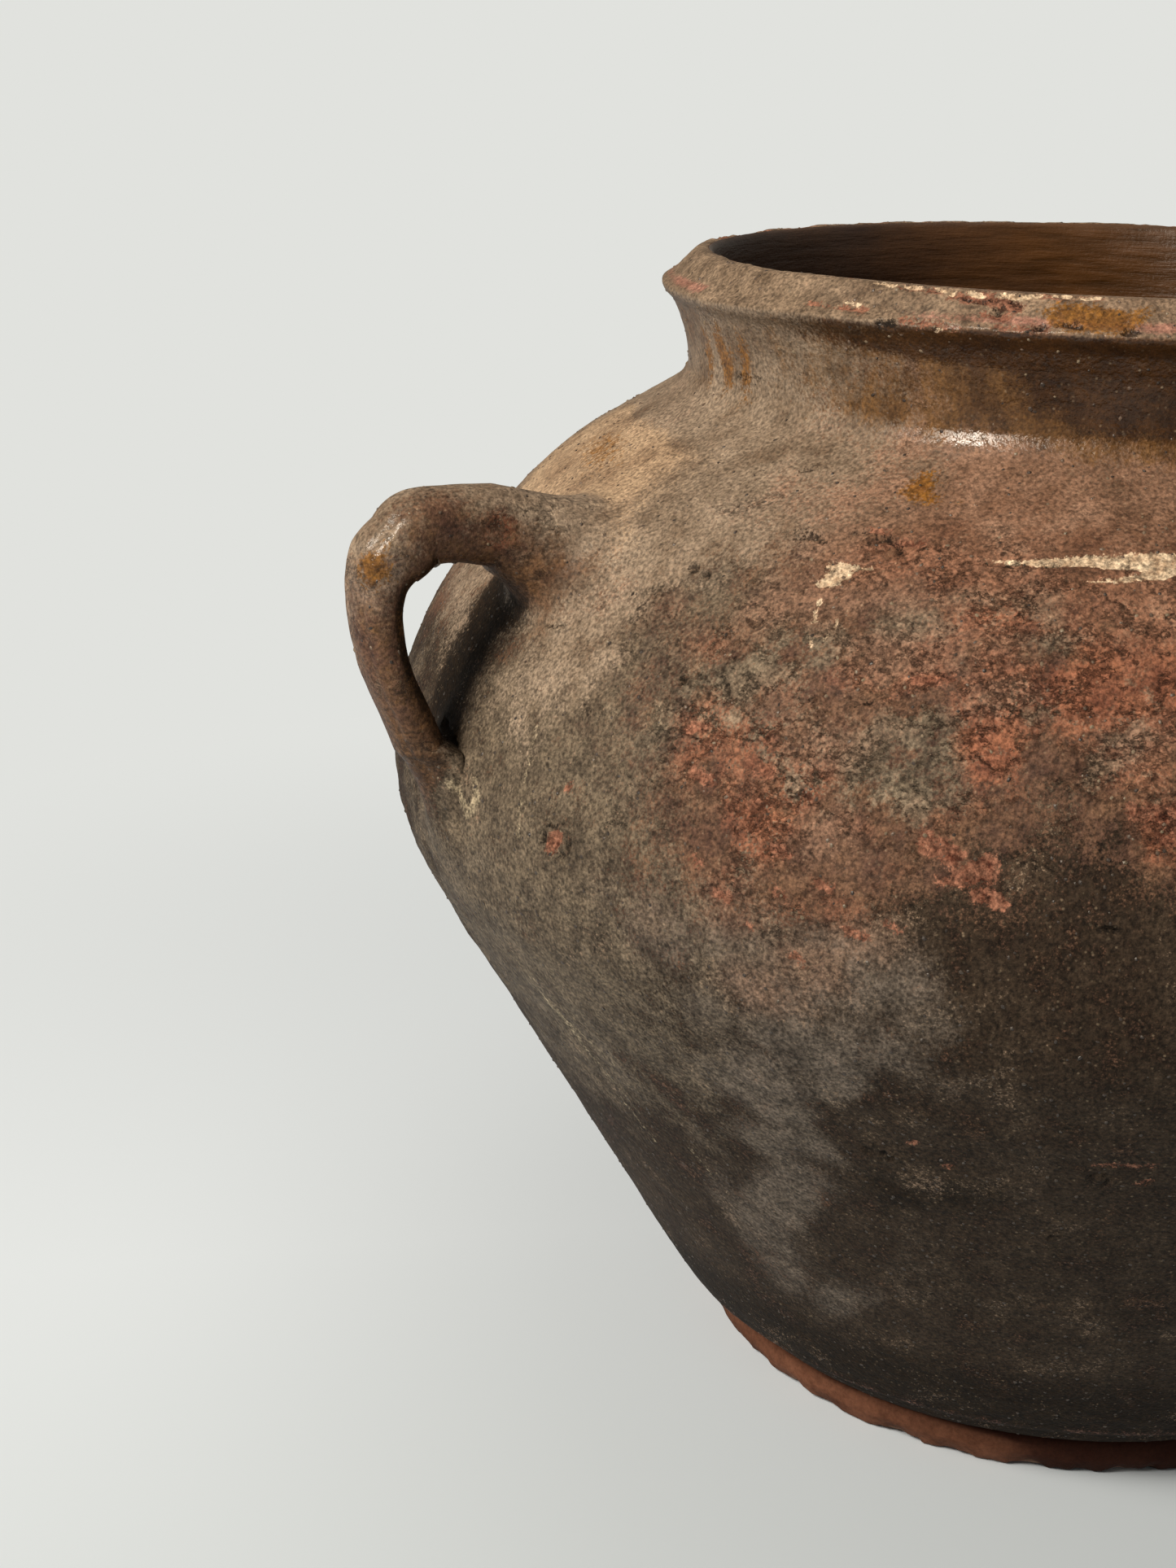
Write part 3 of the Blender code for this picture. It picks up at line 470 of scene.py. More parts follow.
def paintWall(places):
    # weathering and painted light and shade at places on the outside, as fields from about 0 to 1; stroke
    # fields are 0.5 at their edge
    degrees = np.degrees(np.arctan2(places[:, 1], places[:, 0]))
    radius = fromAxis(places) * 1000
    up = np.interp(places[:, 2], walkZ, walk)
    # ragged borders, in millimetres
    wander = roughNoise(places, 0.016, 3, 4) * 4.2
    wanderUp = roughNoise(places, 0.016, 9, 4) * 4.2
    lowWander = roughNoise(places, 0.045, 21) * 14
    uneven = 1 + 0.55 * roughNoise(places, 0.0034, 27, 2)

    def blobs(kind):
        total = np.zeros(len(places))
        for a, h, wide, tall, tilt, strength in marks[kind]:
            x = np.radians(turnFrom(degrees, a)) * radius + wander
            y = up - h + wanderUp
            c, s = math.cos(math.radians(tilt)), math.sin(math.radians(tilt))
            d = ((x * c + y * s) / wide) ** 2 + ((y * c - x * s) / tall) ** 2
            total = np.maximum(total, strength * np.exp(-0.8 * d))
        return total

    def drawn(kind, soft):
        total = np.full(len(places), -9.0)
        for a, h, b, k, r0, r1 in strokes[kind]:
            x, y = np.radians(turnFrom(degrees, a)) * radius, up - h
            ex, ey = np.radians(turnFrom(b, a)) * radius, k - h
            t = np.clip((x * ex + y * ey) / (ex * ex + ey * ey + 1e-9), 0, 1)
            total = np.maximum(total, (r0 + (r1 - r0) * t) * uneven - np.hypot(x - ex * t, y - ey * t))
        return np.clip(0.5 + total / soft, 0, 1)

    filmEdge = between(filmFrom, degrees)
    redEdge = between(redDownTo, degrees)
    # handleShadow is the painted shadow under the handles
    rust, grey, soot, handleShadow = blobs("rust"), blobs("grey"), blobs("soot"), np.clip(blobs("handleShadow"), 0, 1)
    film = ramp(up + lowWander * 0.8, filmEdge - 30, filmEdge + 20)
    # the film is thin beside the left handle
    besideHandle = 1 - ramp(np.abs(turnFrom(degrees, -172)), 8, 24)
    film = film * (1 - 0.34 * (1 - ramp(up, 236, 282)) * besideHandle)
    film = film * (1 - handleShadow) * (1 - 0.8 * rust)
    below = 1 - ramp(up + lowWander, redEdge - 24, redEdge + 24)
    zone = (1 - film) * (1 - below)
    neck = ramp(up + lowWander * 0.3, 318, 336) * (1 - ramp(up, 350, 354)) * between(glazed, degrees)
    # painted shadow just under the rim's ridge, and lower a darker band, partly pooled glaze and partly
    # painted shade
    shadowUnderRidge = ramp(up + wander * 0.15, 342, 347) * (1 - ramp(up + wander * 0.15, 351.8, 354.2))
    pooledAndShadedDown = ramp(up + wander * 0.6, 322, 336) * (1 - ramp(up, 345, 350))
    round140, round185 = (degrees - 140) % 360, (degrees + 185) % 360
    blushed = ramp(up + lowWander * 0.5, filmEdge - 46, filmEdge - 16) * (1 - 0.5 * grey)
    fields = {
        "film": film,
        "rust": np.clip(zone * 0.30 + rust * 0.75 - grey * 0.35 - soot * 0.25, 0, 1),
        "grey": np.clip(zone * 0.34 + grey * 0.6, 0, 1),
        "soot": np.clip(below * (1 - 0.55 * rust) + soot * 0.75 + handleShadow, 0, 1),
        # dark: the dark marks, the painted shadow under the handles, and darker towards the foot
        "dark": blobs("dark") + handleShadow + 1.1 * (1 - ramp(up, 38, 70)),
        "brownAndShade": blobs("brown"),
        "bloom": blobs("bloom"),
        # under: pooled glaze with painted shade under the rim's ridge and on the neck's side turned from the
        # window
        "under": shadowUnderRidge * between(pooledAndShaded, degrees) + pooledAndShadedDown * between(pooledAndShadedLow, degrees),
        "cloud": blobs("cloud"),
        "veil": 0.95 * between(veiled, degrees) * ramp(up + lowWander, 66, 175) * (1 - handleShadow),
        # warm: painted light, a paler and warmer film where the shoulder faces the window
        "warm": (ramp(round140, 0, 14) * (1 - ramp(round140, 36, 56)) * film
                 * ramp(up, 262, 285) * (1 - ramp(up, 306, 316))),
        "ochre": blobs("ochre"),
        "gloss": blobs("gloss") + 0.14 * neck,
        "blush": (0.95 * blushed * ramp(round185, 12, 50) * (1 - ramp(round185, 110, 200))
                  + 0.35 * film * ramp(roughNoise(places, 0.03, 44), -0.2, 0.8)),
        "neck": neck,
        "rim": ramp(up, 351.5, 354.5),
        "ridge": (bell(up, 355.6, 1.9) * (0.65 + 0.5 * roughNoise(places, 0.02, 45)) * ramp(round185, 24, 44)
                  + 0.3 * bell(up, 28, 3)),
        "cream": drawn("cream", 5),
        "salmon": drawn("salmon", 5),
        "scuff": drawn("scuff", 3),
        "darkMarkAndShadow": drawn("darkMarkAndShadow", 3),
    }
    # the crest of the rim, knocked back to the body clay
    knocked = 1.7 * roughNoise(places, 0.010, 33) + (up - between(chippedFrom, degrees)) * 0.7
    onCrest = up > 355
    for kind, less, soft in (("salmon", 0, 5), ("cream", 1.1, 4)):
        bared = np.where(onCrest, np.clip(0.5 + (knocked - less) / soft, 0, 1), 0)
        fields[kind] = np.maximum(fields[kind], bared)
    return degrees, up, fields


scatteredMarks()
print("marks placed:", sum(len(rows) for rows in marks.values()), "soft and",
      sum(len(rows) for rows in strokes.values()), "sharp")


# Geometry Nodes: the potter's wheel and the sand in the clay

def newTree(name, **sockets):
    tree = bpy.data.node_groups.new(name, "GeometryNodeTree")
    tree.interface.new_socket("Geometry", in_out="OUTPUT", socket_type="NodeSocketGeometry")
    for kind, labels in dict({"Geometry": ["Geometry"]}, **sockets).items():
        for label in labels:
            tree.interface.new_socket(label, in_out="INPUT", socket_type="NodeSocket" + kind)
    return tree, tree.nodes.new("NodeGroupInput").outputs, tree.nodes.new("NodeGroupOutput").inputs


def run(obj, tree, values, name):
    # the object after the tree, as a plain mesh object
    modifier = obj.modifiers.new(tree.name, "NODES")
    modifier.node_group = tree
    for item in tree.interface.items_tree:
        if item.item_type == "SOCKET" and item.in_out == "INPUT" and item.name in values:
            modifier[item.identifier] = values[item.name]
    mesh = bpy.data.meshes.new_from_object(obj.evaluated_get(bpy.context.evaluated_depsgraph_get()))
    mesh.name = name
    # the tree's material follows an empty slot, which goes
    finishes = [m for m in mesh.materials if m]
    mesh.materials.clear()
    for finish in finishes:
        mesh.materials.append(finish)
    mesh.polygons.foreach_set("material_index", np.zeros(len(mesh.polygons), np.int32))
    bpy.data.objects.remove(obj, do_unlink=True)
    return placed(name, mesh)


def placed(name, data):
    obj = bpy.data.objects.new(name, data)
    scene.collection.objects.link(obj)
    return obj


def named(tree, name, kind="FLOAT"):
    return put(tree, "GeometryNodeInputNamedAttribute", {"Name": name}, data_type=kind)


def stored(tree, geometry, name, value, kind="FLOAT"):
    return put(tree, "GeometryNodeStoreNamedAttribute", {"Geometry": geometry, "Name": name, "Value": value},
               data_type=kind, domain="POINT")


def endTree(tree, geometry, given, result):
    real = put(tree, "GeometryNodeRealizeInstances", {"Geometry": geometry})
    tree.links.new(put(tree, "GeometryNodeSetMaterial", {"Geometry": real, "Material": given["Material"]}),
                   result["Geometry"])
    return tree


def wheelTree():
    # turns a profile of points (radius, 0, height) round the axis, with throwing rings and lumps
    t, given, result = newTree("potterWheel", Int=["Columns"], Float=[
        "Bias", "Dense Side", "Ring Spacing", "Ring Depth", "Lump Size", "Lump Depth", "Peel Size",
        "Peel Depth", "Settle", "Seed"], Material=["Material"])
    profile, columns = given["Geometry"], given["Columns"]
    rows = put(t, "GeometryNodeAttributeDomainSize", {0: profile}, out="Point Count")
    lines = maths(t, "ADD", columns, 1.0)
    grid = put(t, "GeometryNodeMeshGrid", {"Vertices X": lines, "Vertices Y": rows}, out="Mesh")
    index = put(t, "GeometryNodeInputIndex")
    row = maths(t, "MODULO", index, rows)
    column = maths(t, "FLOOR", maths(t, "DIVIDE", maths(t, "ADD", index, 0.5), rows))
    turn = times(t, maths(t, "DIVIDE", column, columns), math.tau)
    lean = times(t, maths(t, "SINE", maths(t, "SUBTRACT", turn, given["Dense Side"])), given["Bias"])
    angle = maths(t, "SUBTRACT", turn, lean)

    def ofRow(value, kind="FLOAT_VECTOR"):
        return put(t, "GeometryNodeSampleIndex", {"Geometry": profile, "Value": value, "Index": row},
                   data_type=kind)

    def turned(vector):
        return put(t, "ShaderNodeVectorRotate", {"Vector": vector, "Axis": (0, 0, 1), "Angle": angle})

    def lumpy(size, detail):
        inSize = put(t, "ShaderNodeVectorMath", {0: place, 1: given[size]}, operation="DIVIDE")
        return put(t, "ShaderNodeTexNoise", {"Vector": inSize, "W": given["Seed"], "Scale": 1.0,
                                             "Detail": detail}, noise_dimensions="4D")

    place = turned(ofRow(put(t, "GeometryNodeInputPosition")))
    outward = turned(ofRow(named(t, "lift", "FLOAT_VECTOR")))
    inner = ofRow(named(t, "inner"), "FLOAT")
    lumps, peel = lumpy("Lump Size", 2.0), lumpy("Peel Size", 1.0)
    height = put(t, "ShaderNodeSeparateXYZ", {0: place}, out="Z")
    sway = timesPlus(t, lumps, 1.6, maths(t, "DIVIDE", height, given["Ring Spacing"]))
    rings = put(t, "ShaderNodeTexNoise", {"W": sway, "Scale": 1.0, "Detail": 1.5}, noise_dimensions="1D")
    total = times(t, centred(t, rings), given["Ring Depth"])
    total = maths(t, "ADD", total, times(t, centred(t, lumps), given["Lump Depth"]))
    total = maths(t, "ADD", total, times(t, centred(t, peel), given["Peel Depth"]))
    total = maths(t, "SUBTRACT", total, given["Settle"])
    moved = put(t, "ShaderNodeVectorMath", {0: place, 1: scaled(t, outward, total)}, operation="ADD")
    skin = put(t, "GeometryNodeSetPosition", {"Geometry": grid, "Position": moved})
    # both fields go by the grid's own order, so they are stored before its ends are merged
    skin = stored(t, stored(t, skin, "outward", outward, "FLOAT_VECTOR"), "inner", inner)
    skin = put(t, "GeometryNodeMergeByDistance", {"Geometry": skin, "Distance": 0.000002})
    return endTree(t, skin, given, result)


def sandTree():
    # coarse sand that stands in the skin: small half-sunk grains, denser where the sand field is high
    t, given, result = newTree("sandTemper", Float=["Density", "Smallest", "Largest", "Sunk"], Int=["Seed"],
                               Material=["Material"])

    def chance(feeds, out=0, kind="FLOAT_VECTOR"):
        return put(t, "FunctionNodeRandomValue", feeds, out, data_type=kind)

    density = times(t, named(t, "sand"), given["Density"])
    points = put(t, "GeometryNodeDistributePointsOnFaces", {"Mesh": given["Geometry"], "Density": density,
                                                            "Seed": given["Seed"]}, out=None).outputs
    grain = put(t, "GeometryNodeMeshIcoSphere", {"Radius": 0.5, "Subdivisions": 1}, out="Mesh")
    size = chance({2: given["Smallest"], 3: given["Largest"], "Seed": given["Seed"]}, 1, "FLOAT")
    scale = scaled(t, chance({0: (0.7, 0.7, 0.45), 1: (1.25, 1.1, 0.8)}), size)
    tone = chance({"ID": put(t, "GeometryNodeInputIndex")}, 1, "FLOAT")
    down = scaled(t, scaled(t, points["Normal"], given["Sunk"]), -1.0)
    seated = put(t, "GeometryNodeSetPosition", {"Geometry": points["Points"], "Offset": down})
    spin = put(t, "FunctionNodeRotateRotation", {
        "Rotation": points["Rotation"], "Rotate By": chance({0: (0, 0, -3), 1: (0.3, 0.3, 3)})},
        rotation_space="LOCAL")
    grains = put(t, "GeometryNodeInstanceOnPoints", {
        "Points": stored(t, seated, "tone", tone), "Instance": grain, "Rotation": spin, "Scale": scale})
    return endTree(t, grains, given, result)


# Finishes

def newFinish(name):
    material = bpy.data.materials.new(name)
    material.use_nodes = True
    t = material.node_tree
    return material, t, t.nodes["Principled BSDF"], put(t, "ShaderNodeTexCoord", out="Object")


# Iron-rich earthenware from a wood kiln: dull brown body, red where it burnt clean, grey-green and black
# where it was starved of air, and a thin dusty film over the shoulder. The eye sees sand in all of it.
# Some layers also carry painted light and shade: shadows under the handles and the rim, shade in cracks and
# grit, and a paler lit film.
clayLook = {
    "body": ("#4e372d", "#6e523f"),
    # colour and spacing in metres of the pale sand and the dark pores in the skin, size of a dot as a share
    # of that, share of the cells left out, strength
    "sand": ("#b5a084", 0.0013, 0.30, 0.60, 0.45),
    "pores": ("#2a2019", 0.0016, 0.40, 0.36, 1.0),
    "peel": (0.0024, 0.00034),         # spacing and depth of the orange peel
    "grit": (0.0009, 0.00028),         # spacing and depth of the grit, drawn a little coarse to show
    # the cracks' darkness is painted shade along the crusts' steps
    "crust": (0.62, 0.0004, 0.016),    # darkness, depth and spacing of the cracks in the kiln's scale
    "unrolled": (0.17, 0.10),          # radius in metres, and how far the turn climbs
    "roughness": 0.62, "specular": 0.14, "glazeRoughness": 0.13,
    # name, size in metres, detail, stretch
    "patterns": (
        ("broad", 0.017, 9.0, (1, 1, 1)), ("mid", 0.0075, 6.0, (1, 1, 1)), ("fine", 0.0024, 4.0, (1, 1, 1)),
        ("grain", 0.0007, 2.0, (1, 1, 1)), ("pitted", 0.0015, 3.0, (1, 1, 1)),
        ("streak", 0.006, 5.0, (1, 1, 0.25)), ("wiped", 0.0055, 8.0, (0.35, 1, 1.3))),
    # field, two colours, pattern that tones it, pattern that breaks it up, gains of that and of the grain,
    # cover from, to, most, roughness
    "layers": (
        ("rust", "#6c4130", "#966249", "mid", "broad", 2.7, 0.9, 0.34, 0.74, 0.84, 0.62),
        ("grey", "#50483b", "#7f7564", "mid", "broad", 3.2, 0.8, 0.46, 0.76, 0.76, 0.70),
        # soot also carries painted shade: the handles' painted shadow and the straps' downward and inward
        # faces
        ("soot", "#1b130c", "#40352a", "broad", "broad", 2.6, 1.6, 0.28, 0.80, 0.96, 0.78),
        # dark also carries painted shade: the handles' painted shadow, the straps' shaded faces and a dip in
        # the lower wall, and is darker towards the foot
        ("dark", "#0e0804", "#22170a", "wiped", "mid", 1.2, 1.0, 0.20, 0.95, 0.80, 0.80),
        ("cloud", "#4b433b", "#786c61", "mid", "broad", 1.1, 0.9, 0.16, 0.78, 0.82, 0.74),
        ("bloom", "#664d3f", "#92735f", "fine", "broad", 1.7, 1.1, 0.26, 0.96, 0.72, 0.68),
        ("veil", "#4f453a", "#776a59", "mid", "broad", 2.2, 1.4, 0.26, 0.90, 0.84, 0.66),
        ("film", "#6c5c4c", "#998876", "broad", "broad", 1.9, 1.4, 0.24, 0.84, 0.94, 0.55),
        # warm is painted light: the film paler where the shoulder faces the window
        ("warm", "#8c735b", "#bba184", "broad", "broad", 1.8, 1.4, 0.26, 0.90, 0.85, 0.55),
        ("blush", "#634331", "#8f6a55", "broad", "broad", 2.2, 1.4, 0.26, 0.94, 0.76, 0.50),
        # brownAndShade: brown patches round the upper roots, and painted shade on the straps close by the
        # wall
        ("brownAndShade", "#402c1d", "#654a36", "mid", "mid", 1.5, 1.0, 0.16, 0.90, 0.86, 0.66),
        ("neck", "#49311a", "#74532f", "streak", "mid", 1.6, 0.8, 0.22, 0.85, 0.94, 0.40),
        # under: pooled glaze, and painted shade under the rim's ridge, on the neck's side turned from the
        # window and on the straps' undersides
        ("under", "#1c0b02", "#482c11", "wiped", "broad", 1.4, 1.0, 0.25, 0.90, 0.92, 0.36),
        ("rim", "#584839", "#8b7763", "mid", "broad", 1.2, 0.8, 0.20, 0.60, 0.85, 0.56),
        ("ridge", "#75493c", "#a37566", "mid", "mid", 1.2, 1.2, 0.26, 0.80, 0.80, 0.52),
        ("ochre", "#5f390a", "#85591c", "fine", "fine", 0.9, 1.2, 0.34, 0.66, 0.84, 0.42),
        ("scuff", "#80745f", "#ad9e84", "fine", "fine", 0.8, 1.2, 0.42, 0.78, 0.84, 0.72),
        ("salmon", "#4a2519", "#9a6b56", "fine", "fine", 0.8, 0.9, 0.43, 0.58, 0.92, 0.80),
        ("cream", "#9f846a", "#dcc6a9", "fine", "fine", 0.35, 0.45, 0.46, 0.53, 0.97, 0.80),
        # darkMarkAndShadow: near-black pits, rings and cracks, and painted shadow along flake edges
        ("darkMarkAndShadow", "#0c0906", "#221a13", "fine", "fine", 0.8, 1.7, 0.36, 0.70, 0.86, 0.75),
    ),
}


def weatheredClay(name, look):
    material, t, shader, place = newFinish(name)
    # places unrolled round the pot, so that a pattern can run along the wheel's turn
    x, y, z = (put(t, "ShaderNodeSeparateXYZ", {0: place}, out=axis) for axis in "XYZ")
    unrolledRadius, climb = look["unrolled"]
    turned = times(t, maths(t, "ARCTAN2", x, times(t, y, -1.0)), unrolledRadius)
    unrolled = put(t, "ShaderNodeCombineXYZ", {"X": turned, "Z": timesPlus(t, turned, climb, z)})
    patterns = {}
    for key, size, detail, stretch in look["patterns"]:
        at = mapped(t, unrolled if key == "wiped" else place, stretch)
        patterns[key] = noise(t, at, size, detail, 0.70)

    def toned(pattern, shades):
        return blend(t, spread(t, patterns[pattern], 0.36, 0.64), *shades)

    colour, rough = toned("mid", look["body"]), look["roughness"]
    for key, first, second, toning, breaking, gain, grainGain, low, high, most, dullness in look["layers"]:
        amount = field(t, key)
        for pattern, strength in ((breaking, gain), ("grain", grainGain)):
            amount = timesPlus(t, centred(t, patterns[pattern]), strength, amount)
        cover = spread(t, amount, low, high, 0.0, most, "SMOOTHSTEP")
        colour = blend(t, cover, colour, toned(toning, (first, second)))
        rough = put(t, "ShaderNodeMix", {0: cover, 2: rough, 3: dullness})
    # sand and pores: round cells, each kept or left by its own random colour
    for shade, spacing, size, left, strength in (look["sand"], look["pores"]):
        cells = put(t, "ShaderNodeTexVoronoi", {"Vector": place, "Scale": 1 / spacing}, out=None).outputs
        dot = spread(t, cells["Distance"], size, size * 0.45)
        chance = put(t, "ShaderNodeSeparateColor", {0: cells["Color"]}, out="Red")
        amount = times(t, dot, spread(t, chance, left, 1.0, 0.0, strength))
        colour = blend(t, amount, colour, blend(t, 0.5, colour, shade))
    # scale over the red and grey clay, with a crack wherever one crust ends and the next begins; painted
    # shade darkens each crack and painted light brightens the raised crust beside it
    crackShade, crackDepth, crackSpacing = look["crust"]
    crusted = timesPlus(t, field(t, "grey"), 0.5, field(t, "rust"))
    crusted = spread(t, timesPlus(t, patterns["broad"], 4.0, crusted), 2.2, 3.1)
    scale = noise(t, mapped(t, place, (1.0, 1.0, 1.7)), crackSpacing, 10.0, 0.74)
    ledge = times(t, spread(t, scale, 0.49, 0.53), crusted)
    crack = maths(t, "ABSOLUTE", maths(t, "SUBTRACT", scale, 0.495))
    crack = times(t, spread(t, crack, 0.018, 0.004), crusted)
    colour = scaled(t, colour, spread(t, crack, 0, 1, 1.0, crackShade))
    colour = scaled(t, colour, spread(t, ledge, 0, 1, 1.0, 1.20))
    # painted light and shade on the grit: each grain paler where its bump rises and darker where it sinks,
    # less so on the neck; a finer pattern darkens small spots, more where no film lies
    gritSize, gritDepth = look["grit"]
    grit = noise(t, place, gritSize, 2.0, 0.6)
    bare = spread(t, field(t, "film"), 0, 1, 0.56, 0.84)
    calm = field(t, "neck")
    deepest, palest = spread(t, calm, 0, 1, 0.56, 0.78), spread(t, calm, 0, 1, 1.50, 1.20)
    for pattern, low, high, least, most in ((grit, 0.34, 0.66, deepest, palest),
                                            (patterns["pitted"], 0.36, 0.53, bare, 1.07)):
        colour = scaled(t, colour, spread(t, pattern, low, high, least, most))
    peelSize, peelDepth = look["peel"]
    peel = noise(t, place, peelSize, 3.0, 0.55)
    # pools of ash glaze lie over it as a thin wet coat, smoother than the grit under it
    feed(t, shader, {
        "Base Color": colour, "Roughness": rough, "IOR": 1.5, "Specular IOR Level": look["specular"],
        "Normal": bump(t, grit, gritDepth, bump(t, ledge, crackDepth, bump(t, peel, peelDepth))),
        "Coat Weight": put(t, "ShaderNodeClamp", {"Value": field(t, "gloss")}),
        "Coat Roughness": look["glazeRoughness"],
        "Coat Normal": bump(t, grit, gritDepth * 0.6, bump(t, peel, peelDepth * 0.7))})
    return material


# Lead-type honey glaze poured inside: dark, wet, with the wheel's rings and runs of orange and purple-black
insideLook = {
    "dark": ("#32211a", "#4c382b"), "warm": ("#38220a", "#623c15"), "turnsAt": (0.025, 0.115),
    # the painted reflection, a pale patch on the glaze inside the crest: its place, the distances at which
    # it ends and is full, its strength
    "pale": "#7b7068", "reflectionAt": (-0.0935, 0.0415, 0.2935), "reflectionReach": (0.034, 0.010), "reflectionMost": 0.85,
    "patch": 0.03, "streak": 0.008, "ringDepth": 0.0005,
    "grit": (0.0011, 0.00010), "roughness": (0.28, 0.50),
}


def insideGlaze(name, look):
    material, t, shader, place = newFinish(name)
    streaks = noise(t, mapped(t, place, (0.35, 0.35, 3.4)), look["streak"], 6.0, 0.68)
    tone = spread(t, streaks, 0.28, 0.74)
    patch = noise(t, place, look["patch"], 4.0)
    across = timesPlus(t, patch, 0.12, put(t, "ShaderNodeSeparateXYZ", {0: place}, out="X"))
    colour = blend(t, spread(t, across, *look["turnsAt"]), blend(t, tone, *look["dark"]),
                   blend(t, tone, *look["warm"]))
    # a painted reflection: a greyish patch on the glaze by the crest
    off = put(t, "ShaderNodeVectorMath", {0: place, 1: look["reflectionAt"]}, out="Value", operation="DISTANCE")
    paintedReflection = spread(t, timesPlus(t, patch, 0.012, off), *look["reflectionReach"], 0.0, look["reflectionMost"])
    gritSize, gritDepth = look["grit"]
    feed(t, shader, {
        "Base Color": blend(t, paintedReflection, colour, look["pale"]),
        "Roughness": spread(t, streaks, 0.3, 0.7, *look["roughness"]),
        "Normal": bump(t, noise(t, place, gritSize, 2.0), gritDepth, bump(t, streaks, look["ringDepth"]))})
    return material


# Unglazed foot, wiped with a wet sponge before firing: orange terracotta, chalky, stained by handling, with
# painted shade on the side turned from the window and at its top under the wall
bareLook = {
    "clay": ("#513224", "#774f3c"), "stainAndShade": "#260f09", "pale": "#846a58",
    "patch": (0.012, 0.0004), "grit": (0.0012, 0.00018), "roughness": 0.86, "specular": 0.1,
}


def bareTerracotta(name, look):
    material, t, shader, place = newFinish(name)
    (patchSize, patchDepth), (gritSize, gritDepth) = look["patch"], look["grit"]
    patch = noise(t, place, patchSize, 6.0, 0.65)
    grit = noise(t, place, gritSize, 3.0, 0.7)
    colour = blend(t, spread(t, patch, 0.34, 0.66), *look["clay"])
    for key, shade, most in (("stainAndShade", look["stainAndShade"], 0.9), ("worn", look["pale"], 0.7)):
        amount = timesPlus(t, centred(t, patch), 1.0, field(t, key))
        colour = blend(t, spread(t, amount, 0.25, 0.8, 0.0, most, "SMOOTHSTEP"), colour, shade)
    feed(t, shader, {
        "Base Color": scaled(t, colour, spread(t, grit, 0.3, 0.7, 0.78, 1.2)),
        "Roughness": look["roughness"], "Specular IOR Level": look["specular"],
        "Normal": bump(t, grit, gritDepth, bump(t, patch, patchDepth))})
    return material


# Coarse sand burnt into the skin: quartz and feldspar, pale to dark, a little glassy, sooted with the wall
# and so darkened by its painted shadow too
sandLook = {"quartz": "#80705a", "feldspar": "#635041", "dark": "#312721", "soot": "#302720",
            "roughness": 0.45}


def burntSand(name, look):
    material, t, shader, _ = newFinish(name)
    tone = field(t, "tone")
    colour = blend(t, spread(t, tone, 0.25, 0.5), look["dark"], look["feldspar"])
    colour = blend(t, spread(t, tone, 0.7, 0.95), colour, look["quartz"])
    colour = blend(t, times(t, field(t, "soot"), 0.9), colour, look["soot"])
    feed(t, shader, {"Base Color": colour, "Roughness": look["roughness"]})
    return material


filmedClay = weatheredClay("filmedEarthenware", clayLook)
sootedClay = weatheredClay("sootedEarthenware", clayLook)
insideCoat = insideGlaze("honeyGlazeInside", insideLook)
footClay = bareTerracotta("bareTerracotta", bareLook)
sandGrain = burntSand("burntSand", sandLook)
print("finishes made")


# Thrown pieces

def profileOf(parts):
    # joins stretches of (points, spacing, relief, inner) into one closed loop for the wheel
    rows, lifts, inner = [], [], []
    for points, spacing, relief, inside in parts:
        pts = np.array(points, float)
        lengths = np.concatenate([[0], np.cumsum(np.hypot(*np.diff(pts, axis=0).T))])
        at = np.linspace(0, lengths[-1], max(1, round(lengths[-1] / spacing)) + 1)
        dense = np.column_stack([np.interp(at, lengths, pts[:, k]) for k in (0, 1)])
        along = np.gradient(dense, axis=0)
        side = np.column_stack([along[:, 1], -along[:, 0]]) / np.hypot(*along.T)[:, None] * relief
        skip = 1 if rows else 0
        if rows and relief:      # a corner belongs to the stretch with relief
            lifts[-1], inner[-1] = side[0], inside
        rows.extend(dense[skip:])
        lifts.extend(side[skip:])
        inner.extend([inside] * (len(dense) - skip))
    return np.array(rows), np.array(lifts), np.array(inner, float)


def throw(name, parts, look, material):
    rows, lifts, inner = profileOf(parts)
    flat = np.zeros(len(rows))
    mesh = bpy.data.meshes.new(name + "Profile")
    mesh.from_pydata([(r, 0, z) for r, z in rows], [(i, i + 1) for i in range(len(rows) - 1)], [])
    mesh.attributes.new("lift", "FLOAT_VECTOR", "POINT").data.foreach_set(
        "vector", np.column_stack([lifts[:, 0], flat, lifts[:, 1]]).ravel())
    storeField(mesh, "inner", inner)
    values = {"Columns": v["columns"], "Bias": v["columnBias"], "Dense Side": math.radians(v["denseSide"]),
              "Settle": v["settle"], "Seed": look["seed"], "Material": material}
    for part in ("Ring", "Lump", "Peel"):
        extent = "Spacing" if part == "Ring" else "Size"
        values[part + " " + extent], values[part + " Depth"] = look[part.lower()]
    return run(placed(name + "Profile", mesh), wheelGroup, values, name)


def places(mesh):
    flat = np.empty(len(mesh.vertices) * 3)
    mesh.vertices.foreach_get("co", flat)
    return flat.reshape(-1, 3)


def storeField(mesh, name, values):
    if name in mesh.attributes:
        mesh.attributes.remove(mesh.attributes[name])
    mesh.attributes.new(name, "FLOAT", "POINT").data.foreach_set("value", np.asarray(values, float))


def wheelFields(mesh):
    # what the wheel left on the mesh: the outward direction, and 1 on the inside of the pot
    outward, inner = np.empty(len(mesh.vertices) * 3), np.empty(len(mesh.vertices))
    mesh.attributes["outward"].data.foreach_get("vector", outward)
    mesh.attributes["inner"].data.foreach_get("value", inner)
    return outward.reshape(-1, 3), inner


edgeGap, edgeSoftness, beyondHandles = 0.00004, 0.0006, 0.1905


